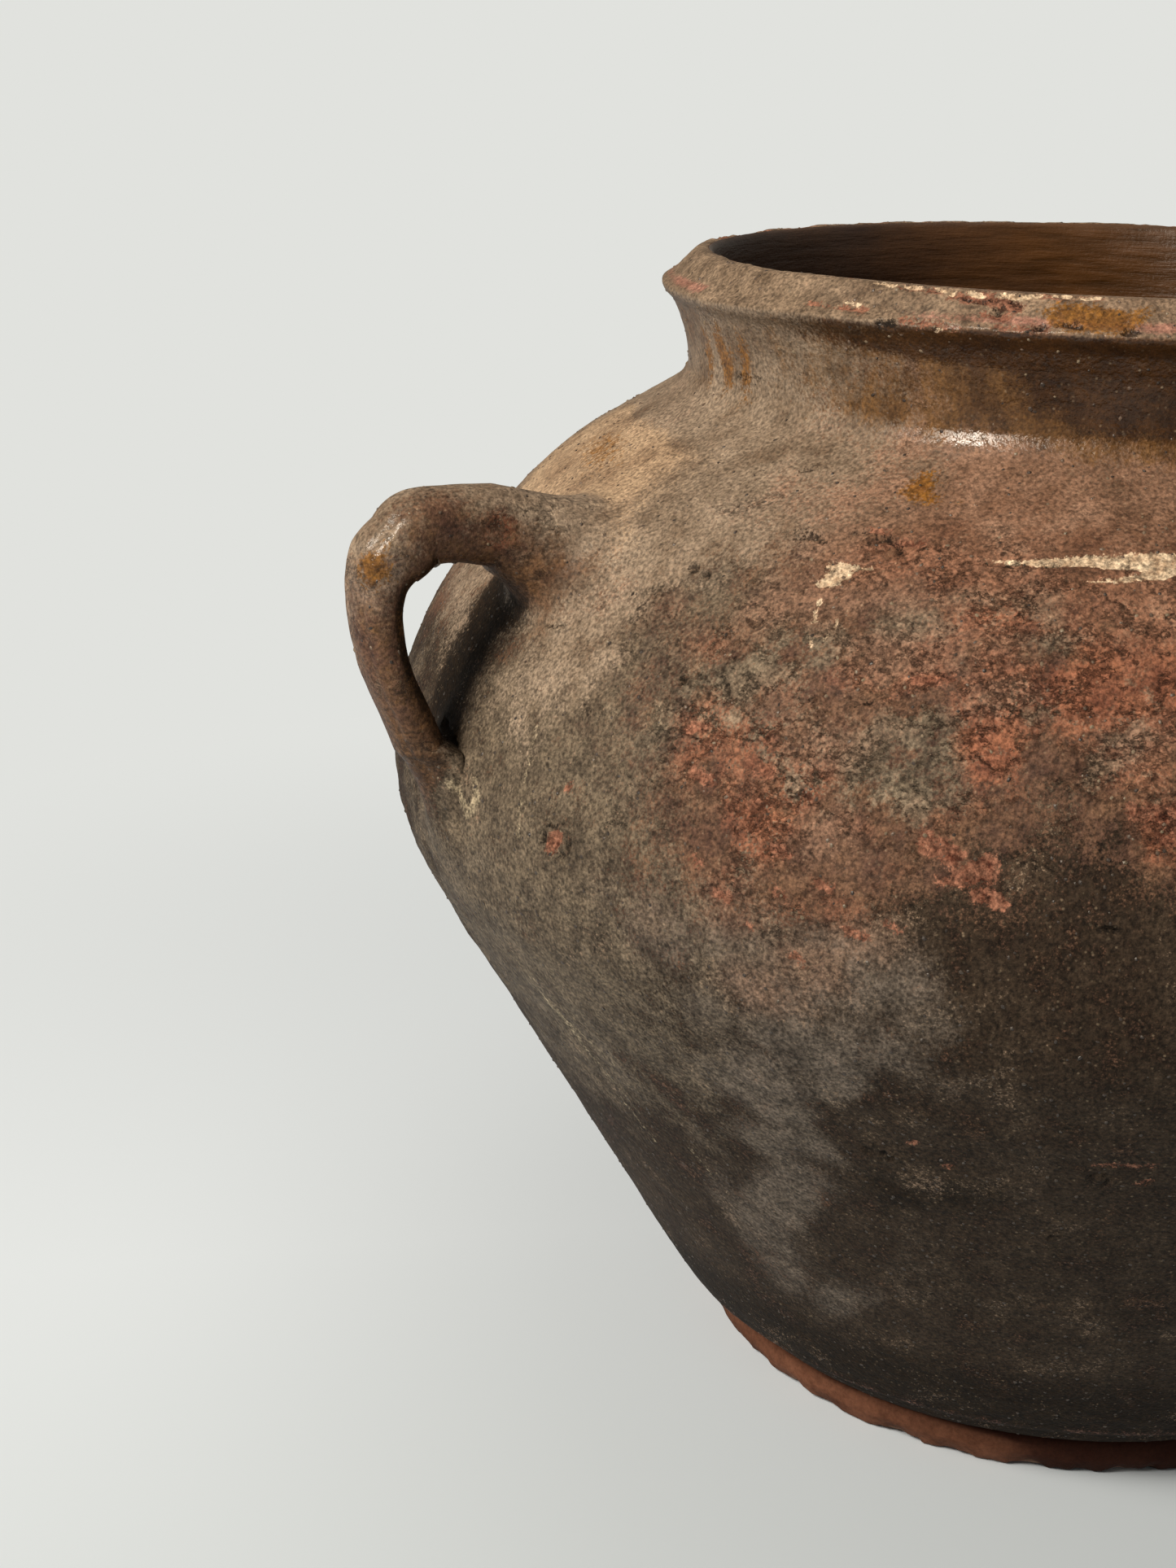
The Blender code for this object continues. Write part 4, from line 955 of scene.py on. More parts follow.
def keepInside(points):
    # nothing on the walls reaches past the solids' box
    radius = fromAxis(points)
    most = cadHigh.y - edgeGap - edgeSoftness
    held = most + edgeSoftness * np.tanh((radius - most) / edgeSoftness)
    onWall = (radius > most) & (radius < beyondHandles)
    points[:, :2] *= np.where(onWall, held / np.maximum(radius, 1e-9), 1)[:, None]
    points[:, 2] = np.clip(points[:, 2], 0, cadHigh.z - 0.00005)
    return points


def clippedAcross(points, gap):
    points[:, 0] = np.clip(points[:, 0], cadLow.x + gap, cadHigh.x - gap)
    return points


def moveTo(mesh, points):
    mesh.vertices.foreach_set("co", points.ravel())


def smoothed(mesh, angle):
    mesh.polygons.foreach_set("use_smooth", np.ones(len(mesh.polygons), bool))
    mesh.set_sharp_from_angle(angle=math.radians(angle))
    mesh.update()


def coatInside(mesh, inner, share):
    # faces that lie on the inside by more than this share take the inside glaze
    count = len(mesh.polygons)
    starts, totals = np.empty(count, np.int32), np.empty(count, np.int32)
    corners = np.empty(len(mesh.loops), np.int32)
    mesh.polygons.foreach_get("loop_start", starts)
    mesh.polygons.foreach_get("loop_total", totals)
    mesh.loops.foreach_get("vertex_index", corners)
    means = np.add.reduceat(inner[corners], starts) / totals
    mesh.materials.append(insideCoat)
    mesh.polygons.foreach_set("material_index", (means > share).astype(np.int32))


# what pressing the handles on left in the wall, in millimetres: half width and thickness of the clay wiped
# down from the lower root by height, and the reach and depths round the upper one
pressed = {
    "fanWide": ((176, 190, 203, 216, 232), (9, 17, 20, 15, 9)),
    "fanThick": ((172, 182, 194, 206, 216, 226, 236), (0, 0.25, 0.62, 0.95, 1.1, 0.8, 0)),
    "upperAt": 268, "upperReach": (27, 19), "upperSpan": 30,
    # thickness and reach of the swelling, and depth, place and width of the hollow round it, in reaches
    "swelling": (1.0, 1.25), "hollow": (0.35, 1.35, 0.16),
    # the fan's raised edges: place as a share of its width, width and height
    "fanEdge": (0.72, 3.2, 0.35),
}


def pressedOn(degrees, up, at, look):
    # a fan of clay wiped down from the lower root, a swelling round the upper one, and a hollow beside each
    total = np.zeros(len(at))
    wide, thick = np.interp(up, *look["fanWide"]), np.interp(up, *look["fanThick"])
    (reachAcross, reachUp), middle, span = look["upperReach"], look["upperAt"], look["upperSpan"]
    (edgeAt, edgeWide, edgeHigh), (thickness, extent) = look["fanEdge"], look["swelling"]
    hollowDeep, hollowAt, hollowWide = look["hollow"]
    for side in (180, 0):
        across = np.radians(turnFrom(degrees, side)) * fromAxis(at) * 1000
        dome = np.clip(1 - (across / wide) ** 2, 0, 1) ** 0.8
        ridge = bell(np.abs(across), edgeAt * wide, edgeWide) * edgeHigh
        total += thick * (dome * 0.8 + ridge * (np.abs(across) < wide * 1.2))
        reach = np.hypot(across / reachAcross, (up - middle) / reachUp)
        total += thickness * np.clip(extent - reach, 0, 1) ** 1.5 * (np.abs(up - middle) < span)
        total -= hollowDeep * bell(reach, hollowAt, hollowWide) * (up < middle)
    round135 = (degrees - 135) % 360
    rough = ramp(round135, 0, 12) * (1 - ramp(round135, 42, 50))
    rough = rough * (1 - ramp(up, 205, 222)) * ramp(up, 120, 150)
    return (total + rough * 0.55 * roughNoise(at, 0.0072, 91, 3)) * 0.001


# depths in metres, for each field as far as it covers between two values
chipDepths = (("salmon", 0.45, 0.60, -0.00050), ("cream", 0.44, 0.56, -0.00042),
              ("darkMarkAndShadow", 0.38, 0.75, -0.00095))
flakeLip, crustRelief = 0.00040, 0.00026
# the bead and the groove over the foot: depth in metres, heights and width in mm
footBead, beadAt, underBead, beadWide = 0.0006, 28, 22, 2.2
rimFrom, neckFrom = 352, 330    # mm up the outside


def weatherThrown(obj):
    # cuts the chips, flakes and pits into the skin and stores the weathering, painted light and shade
    # included, for the finish
    mesh = obj.data
    at = places(mesh)
    outward, inner = wheelFields(mesh)
    degrees, up, fields = paintWall(at)
    depth = np.zeros(len(at))
    for kind, low, high, deep in chipDepths:
        uneven = 1 + 0.35 * latticeNoise(at, 0.0022, 5) if kind == "salmon" else 1
        depth += ramp(fields[kind], low, high) * deep * uneven
    lip = ramp(fields["darkMarkAndShadow"], 0.05, 0.30) * (1 - ramp(fields["darkMarkAndShadow"], 0.30, 0.46))
    depth += flakeLip * lip * (up < neckFrom)
    crust = np.clip(fields["rust"] + fields["grey"] * 0.5, 0, 1) * (1 - 0.6 * fields["film"])
    crust = crust + 0.9 * (up > rimFrom)
    depth += (0.25 + crust) * crustRelief * roughNoise(at, 0.0034, 71, 2)
    depth += footBead * (bell(up, beadAt, beadWide) - bell(up, underBead, beadWide))
    depth += pressedOn(degrees, up, at, pressed)
    at += outward * np.where(inner > 0.5, 0, depth)[:, None]
    at[:, 2] += between(rimRise, degrees) * ramp(up, 334, 351) * (1 - 0.55 * ramp(up, 358, 367)) * 0.001
    moveTo(mesh, keepInside(at))
    for name, values in fields.items():
        storeField(mesh, name, np.where(inner > 0.5, 0, values))
    storeField(mesh, "sand", (inner <= 0.5) * (np.abs(outward).sum(axis=1) > 0.1))
    coatInside(mesh, inner, 0.5)
    smoothed(mesh, 48)
    return obj


wheelGroup = wheelTree()
sandGroup = sandTree()


def outside(low, high):
    z = np.linspace(low, high, 400)
    return np.column_stack([wallRadius(z), z])


def within(high, low):
    z = np.linspace(high, low, 300)
    radius = innerRadius(z)
    straight = np.where(z > v["straightAbove"], v["mouthRadius"], np.maximum(radius, v["mouthRadius"]))
    return np.column_stack([np.where(z > 0.250, straight, radius), z])


def inWall(z, share):
    # a place in the wall's thickness, from 0 on the outside to 1 on the inside
    return wallRadius(z) * (1 - share) + innerRadius(z) * share, z


def plain(*points, spacing=0.003, inside=0):
    # a stretch without relief
    return points, spacing, 0, inside


# spacing or size, and depth, in metres
wallLook = {"ring": (0.0105, 0.00050), "lump": (0.042, 0.0010), "peel": (0.0036, 0.00026), "seed": 3.0}
start, joint, neckJoint, rimJoint = v["wallStart"], v["bellyJoint"], v["neckJoint"], v["rimJoint"]
floorTop = start + v["wallThickness"]
seatInner, seatMiddle = 0.0903, 0.0952    # radii of the wall's lower end
lowerWall = weatherThrown(throw("lowerWall", [
    plain((seatMiddle, start), (v["wallFootRadius"], start)),
    (outside(start, joint), 0.00135, 1, 0),
    plain(inWall(joint, 0), inWall(joint, 1)),
    (within(joint, floorTop), 0.0045, 1, 1),
    plain(inWall(floorTop, 1), (seatInner, 0.0123), (seatInner, start), spacing=0.004, inside=1),
    plain((seatInner, start), (seatMiddle, start)),
], wallLook, sootedClay))

bend = 0.186    # the shoulder curves harder from here up, and takes more rows
upperWall = weatherThrown(throw("upperWall", [
    plain(inWall(joint, 0.5), inWall(joint, 0)),
    (outside(joint, bend), 0.0014, 1, 0),
    (outside(bend, neckJoint), 0.00098, 1, 0),
    plain(inWall(neckJoint, 0), inWall(neckJoint, 1)),
    (within(neckJoint, joint), 0.0045, 1, 1),
    plain(inWall(joint, 1), inWall(joint, 0.5)),
], wallLook, filmedClay))

neckCollar = weatherThrown(throw("neckCollar", [
    plain(inWall(neckJoint, 0.5), inWall(neckJoint, 0)),
    (outside(neckJoint, rimJoint), 0.00085, 1, 0),
    plain(inWall(rimJoint, 0), (v["mouthRadius"], rimJoint)),
    (within(rimJoint, neckJoint), 0.003, 1, 1),
    plain(inWall(neckJoint, 1), inWall(neckJoint, 0.5)),
], wallLook, filmedClay))

section = splineThrough(rimSection, 0.3) / 1000
crest = len(splineThrough(rimSection[:9], 0.3))
rimMiddle = 0.110
rimBand = weatherThrown(throw("rimBand", [
    plain((rimMiddle, rimJoint), (0.115, rimJoint)),
    (section[:crest + 6], 0.00062, 1, 0),
    (section[crest + 5:], 0.0011, 1, 1),
    plain((v["mouthRadius"], rimJoint), (rimMiddle, rimJoint)),
], wallLook, filmedClay))
print("walls, neck and rim thrown")


# Foot ring and floor: bare clay, its lower edge chipped all round

footLook = {
    "ring": (0.004, 0.00030), "lump": (0.02, 0.0009), "peel": (0.0035, 0.00045), "seed": 8.0,
    "inner": 0.0853, "top": 0.0108, "rubbed": 0.00010,
    "edgeFrom": 0.092, "biteAcross": 0.0015, "biteUp": 0.0011,
    # degrees round, half width in degrees, depth
    "notches": ((166, 4, 1.3), (170.5, 2, 0.8), (-167.5, 3, 1.2), (-160, 2.5, 0.9), (-147, 4, 1.3),
                (-138, 2, 0.7), (-126.5, 3, 1.0), (-96, 5, 1.5), (-60, 3, 0.9), (-22, 6, 1.6), (14, 3, 1.0),
                (47, 4, 1.2), (83, 2, 1.0), (121, 5, 1.4)),
}
footSection = splineThrough(((97.4, 10.8), (98.7, 9.8), (99.2, 7.4), (98.9, 4.6), (97.4, 1.7), (96.2, 0.45),
                             (95.4, 0.0)), 0.4) / 1000
footIn, footTop = footLook["inner"], footLook["top"]
footRing = throw("footRing", [
    plain((0.094, footTop), (0.0974, footTop), spacing=0.0015),
    (footSection, 0.00065, 1, 0),
    plain((0.0954, 0), (footIn, 0), spacing=0.0022),
    plain((footIn, 0), (footIn, 0.0057), (seatInner, 0.0057), (seatInner, footTop), inside=1),
    plain((seatInner, footTop), (0.094, footTop), spacing=0.002),
], footLook, footClay)


def chipFoot(obj, look):
    mesh = obj.data
    at = places(mesh)
    outward, _ = wheelFields(mesh)
    degrees = np.degrees(np.arctan2(at[:, 1], at[:, 0]))
    radius = fromAxis(at)
    edge = radius > look["edgeFrom"]
    bite = np.clip(roughNoise(at * (1, 1, 0.3), 0.0085, 14) - 0.12, 0, 1) * 1.5
    for a, wide, deep in look["notches"]:
        gap = np.clip(1 - np.abs(turnFrom(degrees, a)) / wide, 0, 1) ** 0.7
        bite = np.maximum(bite, deep * gap * (1 + 0.25 * latticeNoise(at, 0.002, 6)))
    bite = bite * (1 - ramp(at[:, 2], 0.0005, 0.0062)) * edge
    at[:, :2] -= at[:, :2] / np.maximum(radius, 1e-9)[:, None] * (bite * look["biteAcross"])[:, None]
    under = edge & (at[:, 2] < 0.0012) & (fromAxis(at) > 0.0925)
    at[:, 2] += np.where(under, bite * look["biteUp"], 0)
    at += outward * (roughNoise(at, 0.0028, 51, 2) * look["rubbed"])[:, None]
    moveTo(mesh, keepInside(at))
    # painted shade with the stain: darker on the half turned from the window and at the top under the wall's
    # overhang, plus a random stain and darker inner parts
    round180 = (degrees - 180) % 360
    right = ramp(round180, 34, 66) * (1 - ramp(round180, 200, 250))
    storeField(mesh, "stainAndShade", right + 0.5 * ramp(at[:, 2], 0.0082, 0.0106) + 0.2 * roughNoise(at, 0.02, 4)
               + 0.35 * (1 - edge))
    storeField(mesh, "worn", 0.5 * ramp(bite, 0.25, 0.9) + 0.1)
    smoothed(mesh, 50)


chipFoot(footRing, footLook)

floorLook = dict(footLook, ring=(0.009, 0.0), swirl=(0.0115, 0.00045))
floorEdge, floorSeat = 0.085, 0.090
floorDisc = throw("floorDisc", [
    plain((0, 0), (floorEdge, 0), spacing=0.006),
    plain((floorEdge, 0), (floorEdge, 0.006)),
    plain((floorEdge, 0.006), (floorSeat, 0.006), (floorSeat, 0.012)),
    plain((floorSeat, 0.012), (0.060, 0.0118), (0.003, 0.0116), (0, 0.0116), spacing=0.0024, inside=1),
], floorLook, footClay)


def swirlFloor(obj, look):
    # the spiral that the potter's fingers leave on the inside of the floor, and wear under the foot
    mesh = obj.data
    at = places(mesh)
    radius, angle = fromAxis(at), np.arctan2(at[:, 1], at[:, 0])
    spacing, depth = look["swirl"]
    top = (at[:, 2] > 0.0108) & (radius < 0.088)
    wave = np.sin((radius / spacing - angle / math.tau) * math.tau) * ramp(radius, 0.002, 0.02)
    at[:, 2] += np.where(top, wave * depth - 0.0003, 0)
    under = (at[:, 2] < 0.001) & (radius < 0.083)
    at[:, 2] += np.where(under, 0.0004 + 0.0003 * roughNoise(at, 0.02, 2), 0)
    moveTo(mesh, keepInside(at))
    storeField(mesh, "stainAndShade", 0.3 + 0.3 * roughNoise(at, 0.03, 12))
    storeField(mesh, "worn", 0.3 + 0.3 * roughNoise(at, 0.015, 13))
    coatInside(mesh, wheelFields(mesh)[1], 0.6)
    smoothed(mesh, 50)


swirlFloor(floorDisc, floorLook)
print("foot and floor made")


# Strap handles: pulled from a coil, pressed on the shoulder with a flare and smeared down the belly

strap = {
    "low": 0.177, "rise": 0.0662, "standoff": 0.0468,
    "rootThick": 0.0202, "legThick": 0.0114, "wide": 0.0200,
    "upperHeight": 0.234, "upperTall": 0.0310, "upperWide": 0.0540, "lowerTall": 0.0260, "lowerWide": 0.0270,
    "squareness": 2.3, "slant": 0.84, "around": 112, "rings": 46, "skin": 0.00030,
    # shares of the rise and the standoff, and how far the thickness is the root's
    "run": ((0.976, 0.558, 1.00), (0.994, 0.780, 0.90), (0.985, 0.952, 0.90), (0.932, 0.968, 0.80),
            (0.880, 0.982, 0.66), (0.787, 0.918, 0.26), (0.657, 0.776, 0.05), (0.491, 0.558, 0.0),
            (0.340, 0.355, 0.0), (0.199, 0.192, 0.0)),
    # out from the wall, and how far the flare is drawn in to the strap
    "flare": ((-0.030, -0.20), (-0.012, -0.08), (0.0, 0.0), (0.022, 0.25), (0.065, 0.49), (0.14, 0.71),
              (0.25, 0.88), (0.40, 1.0)),
    # down the belly, with shares of the thickness and the width
    "smear": ((0.43, 0.71, 0.80), (0.24, 0.54, 0.82), (0.05, 0.39, 0.86), (-0.15, 0.26, 0.93),
              (-0.38, 0.15, 1.02), (-0.62, 0.08, 1.02), (-0.85, 0.03, 0.88), (-1.00, 0.0, 0.55)),
    "groove": (0.62, 0.16, 0.00045),   # two finger grooves: turn and width in radians, and depth
    "notchDepth": 0.0011,
}


def onWall(y, z, lift):
    radius = wallRadius(z) - 0.0002 + lift
    return np.column_stack([np.sqrt(np.maximum(radius * radius - y * y, 0)), y, z])


def strapSkin(h):
    # rings of points along the handle on +X, from inside the shoulder to inside the belly
    turn = np.linspace(0, math.tau, h["around"], endpoint=False)
    cosine, sine = (np.sign(wave) * np.abs(wave) ** (2 / h["squareness"])
                    for wave in (np.cos(turn), np.sin(turn)))
    stations = []
    for up, out, thick in h["run"]:
        z = h["low"] + up * h["rise"]
        stations.append((float(wallRadius(z)) + out * h["standoff"], z,
                         h["legThick"] + thick * (h["rootThick"] - h["legThick"])))
    curves = [[(i, s[k]) for i, s in enumerate(stations)] for k in range(3)]
    end = len(stations) - 1
    middle = []
    for i in np.linspace(0, end, h["rings"]):
        x, z, thick = (smoothThrough(curve, i) for curve in curves)
        a, b = max(i - 0.12, 0), min(i + 0.12, end)
        along = np.array([smoothThrough(c, b) - smoothThrough(c, a) for c in curves[:2]])
        along /= np.linalg.norm(along)
        off = (thick / 2 - h["skin"]) * cosine
        ring = np.column_stack([x - along[1] * off, (h["wide"] / 2 - h["skin"]) * sine, z + along[0] * off])
        ring[:, 0] = np.maximum(ring[:, 0], onWall(ring[:, 1], ring[:, 2], -0.0012)[:, 0])
        middle.append(ring)
    first, last = middle[0], middle[-1]
    firstUp, firstOut, _ = h["run"][0]
    climb = h["low"] + firstUp * h["rise"] - h["upperHeight"]
    upper = []
    for out, drawn in h["flare"]:
        way = max(out, 0) / firstOut
        tall = h["upperTall"] + drawn * (h["rootThick"] * h["slant"] - h["upperTall"])
        wide = h["upperWide"] + drawn * (h["wide"] - h["upperWide"])
        z = h["upperHeight"] + way * climb + tall / 2 * cosine
        upper.append(onWall(wide / 2 * sine, z, out * h["standoff"]) * (1 - way * way) + first * way * way)
    thickAtRoot = max(last[:, 0] - onWall(last[:, 1], last[:, 2], 0)[:, 0])
    lower = []
    for up, thick, wide in h["smear"]:
        hollow = np.maximum(np.cos(turn), 0) ** (0.8 + 1.4 * (1 - thick))
        lift = hollow * thick * thickAtRoot
        z = h["low"] + up * h["lowerTall"] - 0.4 * lift
        sunk = lift - 0.0005 - 0.0012 * (np.cos(turn) < -0.1)
        lower.append(onWall(wide * h["lowerWide"] / 2 * np.sin(turn), z, sunk))
    lower[0] = lower[0] * 0.65 + last * 0.35
    return np.concatenate([splineThrough(upper, steps=3)[:-1], splineThrough(middle, steps=2),
                           splineThrough(lower, steps=6)])


# place on the left handle in mm, reach in mm, strength
handleMarks = {
    "ochre": (((-209.5, -9, 235.7), 5.5, 0.9), ((-206, -8, 239), 5, 0.4)),
    "gloss": (((-204.0, -9, 239.0), 8, 0.6), ((-209, -8, 233), 8, 0.4), ((-194, -9, 241), 9, 0.3)),
    "rust": (((-177.1, -10, 241.7), 6, 0.85), ((-192.1, -7, 246.5), 6, 0.6), ((-199, -7, 247), 5, 0.45),
             ((-212.2, -6, 216.9), 9, 0.45), ((-213, -4, 207), 8, 0.4), ((-171, -14, 232), 8, 0.4)),
    "soot": (((-178.5, -11, 243), 4, 0.6), ((-201.4, -9.5, 206.1), 5, 0.75), ((-197.5, -9.5, 191.8), 7, 0.6),
             ((-191, -9, 247), 3.5, 0.6), ((-170.9, -13, 229), 9, 0.45), ((-205, -9.5, 222), 5, 0.35)),
    "cream": (((-207.4, -3, 248.6), 2.1, 0.62),),
}
handleNotches = (((-208.6, -4.0, 246.0), 2.6, 1.0), ((-211.8, -2.0, 238.2), 2.0, 0.5))


def strapFields(at, lift, away, side, seed):
    # what the strap wears away from the wall, with painted light and shade by how it faces: more pale film
    # and less blush and glaze on its upward faces, and painted shade (soot, dark, under, brown, less film)
    # on its downward and inward faces and close by the wall
    facingUp, facingDown = ramp(lift[:, 2], 0.05, 0.75), ramp(-lift[:, 2], 0.0, 0.7)
    inward = ramp(-(lift[:, 0] * side), 0.05, 0.7)
    deep = 1 - ramp(away, 0.010, 0.034)
    worn = roughNoise(at, 0.014, seed + 5)
    own = {
        "film": np.clip(0.60 + 0.6 * facingUp - (0.3 + 0.6 * deep) * facingDown - 0.9 * inward
                        + 0.2 * worn, 0, 1),
        "rust": np.clip(0.20 + 0.10 * worn, 0, 1),
        "grey": 0.46 + 0.15 * worn,
        "soot": np.clip((0.25 + 0.55 * deep) * facingDown + 0.95 * inward + 0.10 * worn, 0, 1),
        "dark": (0.1 + 0.7 * deep) * facingDown + 1.2 * inward,
        "gloss": np.full(len(at), 0.06),
        "brownAndShade": 0.85 * deep * (1 - facingUp),
        "neck": np.clip(0.34 - 0.3 * facingUp, 0, 1),
        "rim": np.full(len(at), 0.12),
        "blush": 0.42 - 0.6 * facingUp + 0.25 * worn,
        "under": np.clip(0.5 * facingDown + 0.4 * inward, 0, 1),
    }
    mirror = at * 1000 if side < 0 else at * (-1000, -1000, 1000)
    for kind, spots in handleMarks.items():
        for place, reach, strength in spots:
            gap = np.linalg.norm(mirror - place, axis=1) + 1.6 * roughNoise(at, 0.005, seed + 11)
            near = strength * np.exp(-(gap / reach) ** 2)
            own[kind] = np.maximum(own.get(kind, 0), near)
            if kind in ("rust", "soot"):
                own["film"] = own["film"] * (1 - 0.8 * near)
    return own


def makeHandle(name, side, h, material, seed):
    grid = strapSkin(h)
    count, around = grid.shape[:2]
    # the skin's own outward direction, from its neighbours
    along = np.gradient(grid, axis=0)
    across = np.roll(grid, -1, axis=1) - np.roll(grid, 1, axis=1)
    normal = np.cross(across, along)
    normal /= np.maximum(np.linalg.norm(normal, axis=2), 1e-12)[:, :, None]
    if ((grid - grid.mean(axis=1, keepdims=True)) * normal).sum() < 0:
        normal = -normal
    flat, lift = grid.reshape(-1, 3), normal.reshape(-1, 3)
    if side < 0:
        flat, lift = flat * (-1, -1, 1), lift * (-1, -1, 1)
    turn = np.tile(np.linspace(0, math.tau, around, endpoint=False), count)
    free = ramp(fromAxis(flat) - wallRadius(flat[:, 2]), 0.0004, 0.004)
    depth = 0.00050 * latticeNoise(flat, 0.017, seed) + 0.00016 * roughNoise(flat, 0.0042, seed + 3, 2)
    depth -= 0.00018
    grooveAt, grooveWide, grooveDeep = h["groove"]
    depth -= grooveDeep * bell(np.abs((turn + math.pi) % math.tau - math.pi), grooveAt, grooveWide)
    for (x, y, z), reach, strength in handleNotches:
        gap = np.linalg.norm(flat * 1000 - np.array((-x * side, -y * side, z)), axis=1)
        notch = np.exp(-(gap / reach) ** 4) * (1 + 0.4 * latticeNoise(flat, 0.0016, 9))
        depth -= h["notchDepth"] * strength * notch
    flat = clippedAcross(flat + lift * (depth * free)[:, None], 0.00005)
    ends = [part.mean(axis=0) * (0.992, 0.992, 1) for part in (flat[:around], flat[-around:])]
    verts = np.vstack([flat, *ends])
    pairs = [(j, (j + 1) % around) for j in range(around)]
    tip, total = (count - 1) * around, count * around
    faces = [(i + j, i + k, i + around + k, i + around + j) for i in range(0, tip, around) for j, k in pairs]
    for j, k in pairs:
        faces += [(k, j, total), (tip + j, tip + k, total + 1)]
    mesh = bpy.data.meshes.new(name)
    mesh.from_pydata(verts.tolist(), [], faces)
    obj = placed(name, mesh)
    faceOutwards(mesh)

    # near the wall the strap wears the wall's weathering and painted shade, further out its own
    at = places(mesh)
    _, _, fields = paintWall(at)
    away = fromAxis(at) - wallRadius(at[:, 2])
    share = ramp(away, 0.0015, 0.0085)
    own = strapFields(at, np.vstack([lift, np.zeros((2, 3))]), away, side, seed)
    for key, values in fields.items():
        storeField(mesh, key, values * (1 - share) + own.get(key, 0) * share)
    storeField(mesh, "sand", np.full(len(at), 0.8))
    mesh.materials.append(material)
    smoothed(mesh, 60)
    return obj


def faceOutwards(mesh):
    bm = bmesh.new()
    bm.from_mesh(mesh)
    bmesh.ops.recalc_face_normals(bm, faces=bm.faces)
    bm.to_mesh(mesh)
    bm.free()


leftHandle = makeHandle("leftHandle", -1, strap, filmedClay, 61)
rightHandle = makeHandle("rightHandle", 1, strap, filmedClay, 83)
print("handles made")


# Sand in the skin, a piece of its own over each wall and handle

grainLook = {"Density": 34000.0, "Smallest": 0.00045, "Largest": 0.00125, "Sunk": 0.00012, "Seed": 17}


def scatterSand(name, source, look, seed):
    host = placed(name + "Host", source.data.copy())
    grains = run(host, sandGroup, dict(look, Seed=seed, Material=sandGrain), name)
    moveTo(grains.data, clippedAcross(keepInside(places(grains.data)), 0.00003))
    grains.data.update()
    return grains


sand = [scatterSand(name, source, grainLook, grainLook["Seed"] + i) for i, (name, source) in enumerate((
    ("lowerSand", lowerWall), ("upperSand", upperWall), ("neckSand", neckCollar), ("rimSand", rimBand),
    ("leftHandleSand", leftHandle), ("rightHandleSand", rightHandle)))]
grainFaces = 20
print("sand grains:", sum(len(g.data.polygons) for g in sand) // grainFaces)


# Everything rides on the one fixed body and stands for its solids

for piece, node, finish in (
        (floorDisc, "floor_disc", "bare_terracotta"), (footRing, "foot_ring", "bare_terracotta"),
        (lowerWall, "lower_wall", "sooted_earthenware"), (upperWall, "upper_wall", "filmed_earthenware"),
        (neckCollar, "neck_collar", "brown_glaze"), (rimBand, "rim_band", "filmed_earthenware"),
        (leftHandle, "left_handle", "filmed_earthenware"),
        (rightHandle, "right_handle", "filmed_earthenware")):
    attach(piece, "root")
    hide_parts(node)
for grains in sand:
    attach(grains, "root")


# Studio: pale floor, pale surroundings, a big soft lamp on the left and one overhead

studio = {
    "floor": "#e1edfa", "shaded": "#d0dce7", "surround": "#e1e2de", "floorRadius": 7.0, "floorDrop": 0.0002,
    "fade": (0.20, 0.62), "nearSide": (0.25, 0.97, 0), "shadeSpan": (-0.14, 0.05), "ambient": 0.20,
    "light": "#fff6e8", "aimedAt": (0, 0, 0.16),
    # name, place, width, height, watts, colour
    "lamps": (
        ("window", (-1.42, -0.354, 1.364), 0.75, 0.55, 38.0, "#fff3e2"),
        ("ceiling", (0.1, 0.3, 1.9), 1.4, 1.4, 4.0, "#fff3e2"),
    ),
}


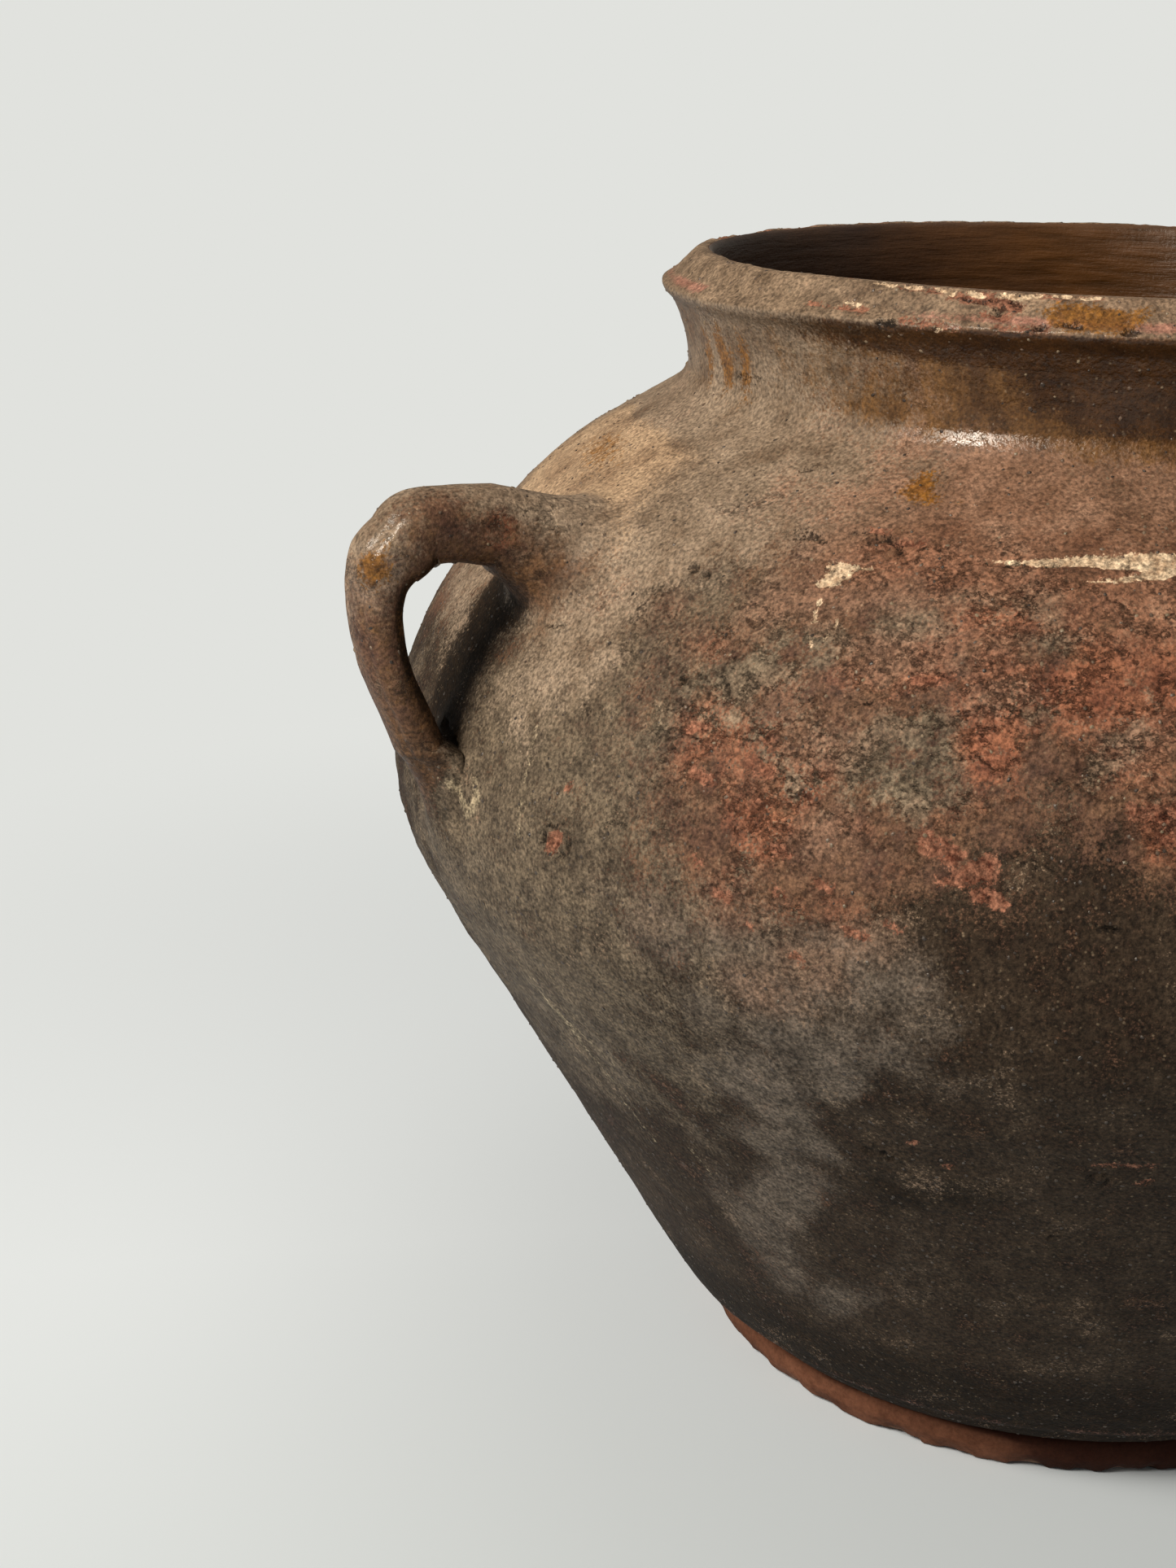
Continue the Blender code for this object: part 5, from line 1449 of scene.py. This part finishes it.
def makeStudio(look):
    bpy.ops.mesh.primitive_circle_add(vertices=96, radius=look["floorRadius"], fill_type="NGON",
                                      location=(0, 0, -look["floorDrop"]))
    floor = bpy.context.object
    floor.name = "studioFloor"
    material, t, shader, place = newFinish("paintedFloor")
    # painted shade: the near side of the floor is painted a little darker
    near = put(t, "ShaderNodeVectorMath", {0: place, 1: look["nearSide"]}, out="Value",
               operation="DOT_PRODUCT")
    feed(t, shader, {"Base Color": blend(t, spread(t, near, *look["shadeSpan"]), look["shaded"], look["floor"]),
                     "Roughness": 0.9, "Specular IOR Level": 0.1})
    # further out the floor runs into the surroundings for the viewer, and stays a plain floor for the light
    reach = put(t, "ShaderNodeVectorMath", {0: place}, out="Value", operation="LENGTH")
    fade = spread(t, reach, *look["fade"], kind="SMOOTHSTEP")
    pale = put(t, "ShaderNodeEmission", {"Color": look["surround"], "Strength": 1.0})
    seen = put(t, "ShaderNodeLightPath", out="Is Camera Ray")
    showPale(t, times(t, fade, seen), shader, pale, "Material Output")
    floor.data.materials.append(material)

    world = bpy.data.worlds.new("paleRoom")
    world.use_nodes = True
    scene.world = world
    t = world.node_tree
    feed(t, t.nodes["Background"], {"Color": look["light"], "Strength": look["ambient"]})
    pale = put(t, "ShaderNodeBackground", {"Color": look["surround"], "Strength": 1.0})
    seen = put(t, "ShaderNodeLightPath", out="Is Camera Ray")
    showPale(t, seen, t.nodes["Background"], pale, "World Output")

    for name, place, width, height, watts, colour in look["lamps"]:
        lamp = bpy.data.lights.new(name, "AREA")
        lamp.shape = "RECTANGLE"
        lamp.size, lamp.size_y = width, height
        lamp.energy = watts
        lamp.color = linear(colour)[:3]
        obj = placed(name, lamp)
        obj.location = place
        obj.rotation_euler = (Vector(look["aimedAt"]) - obj.location).to_track_quat("-Z", "Y").to_euler()


def showPale(tree, amount, shader, pale, output):
    mixed = put(tree, "ShaderNodeMixShader", {0: amount, 1: shader.outputs[0], 2: pale})
    tree.links.new(mixed, tree.nodes[output].inputs["Surface"])


# the camera that the photograph's outline gave: place in metres, direction on the level, turns in radians
cameraView = {"place": (-0.37493, -0.48593, 0.35116), "level": (0.41945, 0.90778), "down": 0.31903,
              "roll": 0.01604, "lens": 51.99}


def makeCamera(look):
    data = bpy.data.cameras.new("photoCamera")
    data.lens = look["lens"]
    data.sensor_width = 36.0
    data.sensor_fit = "AUTO"
    data.clip_start, data.clip_end = 0.02, 60
    obj = placed("photoCamera", data)
    obj.location = look["place"]
    x, y = look["level"]
    c, s = math.cos(look["down"]), math.sin(look["down"])
    aimed = Vector((x * c, y * c, -s)).to_track_quat("-Z", "Y")
    obj.rotation_mode = "QUATERNION"
    obj.rotation_quaternion = aimed @ Quaternion((0, 0, 1), look["roll"])
    scene.camera = obj


makeStudio(studio)
makeCamera(cameraView)
scene.view_settings.view_transform = "Standard"
print("studio set")
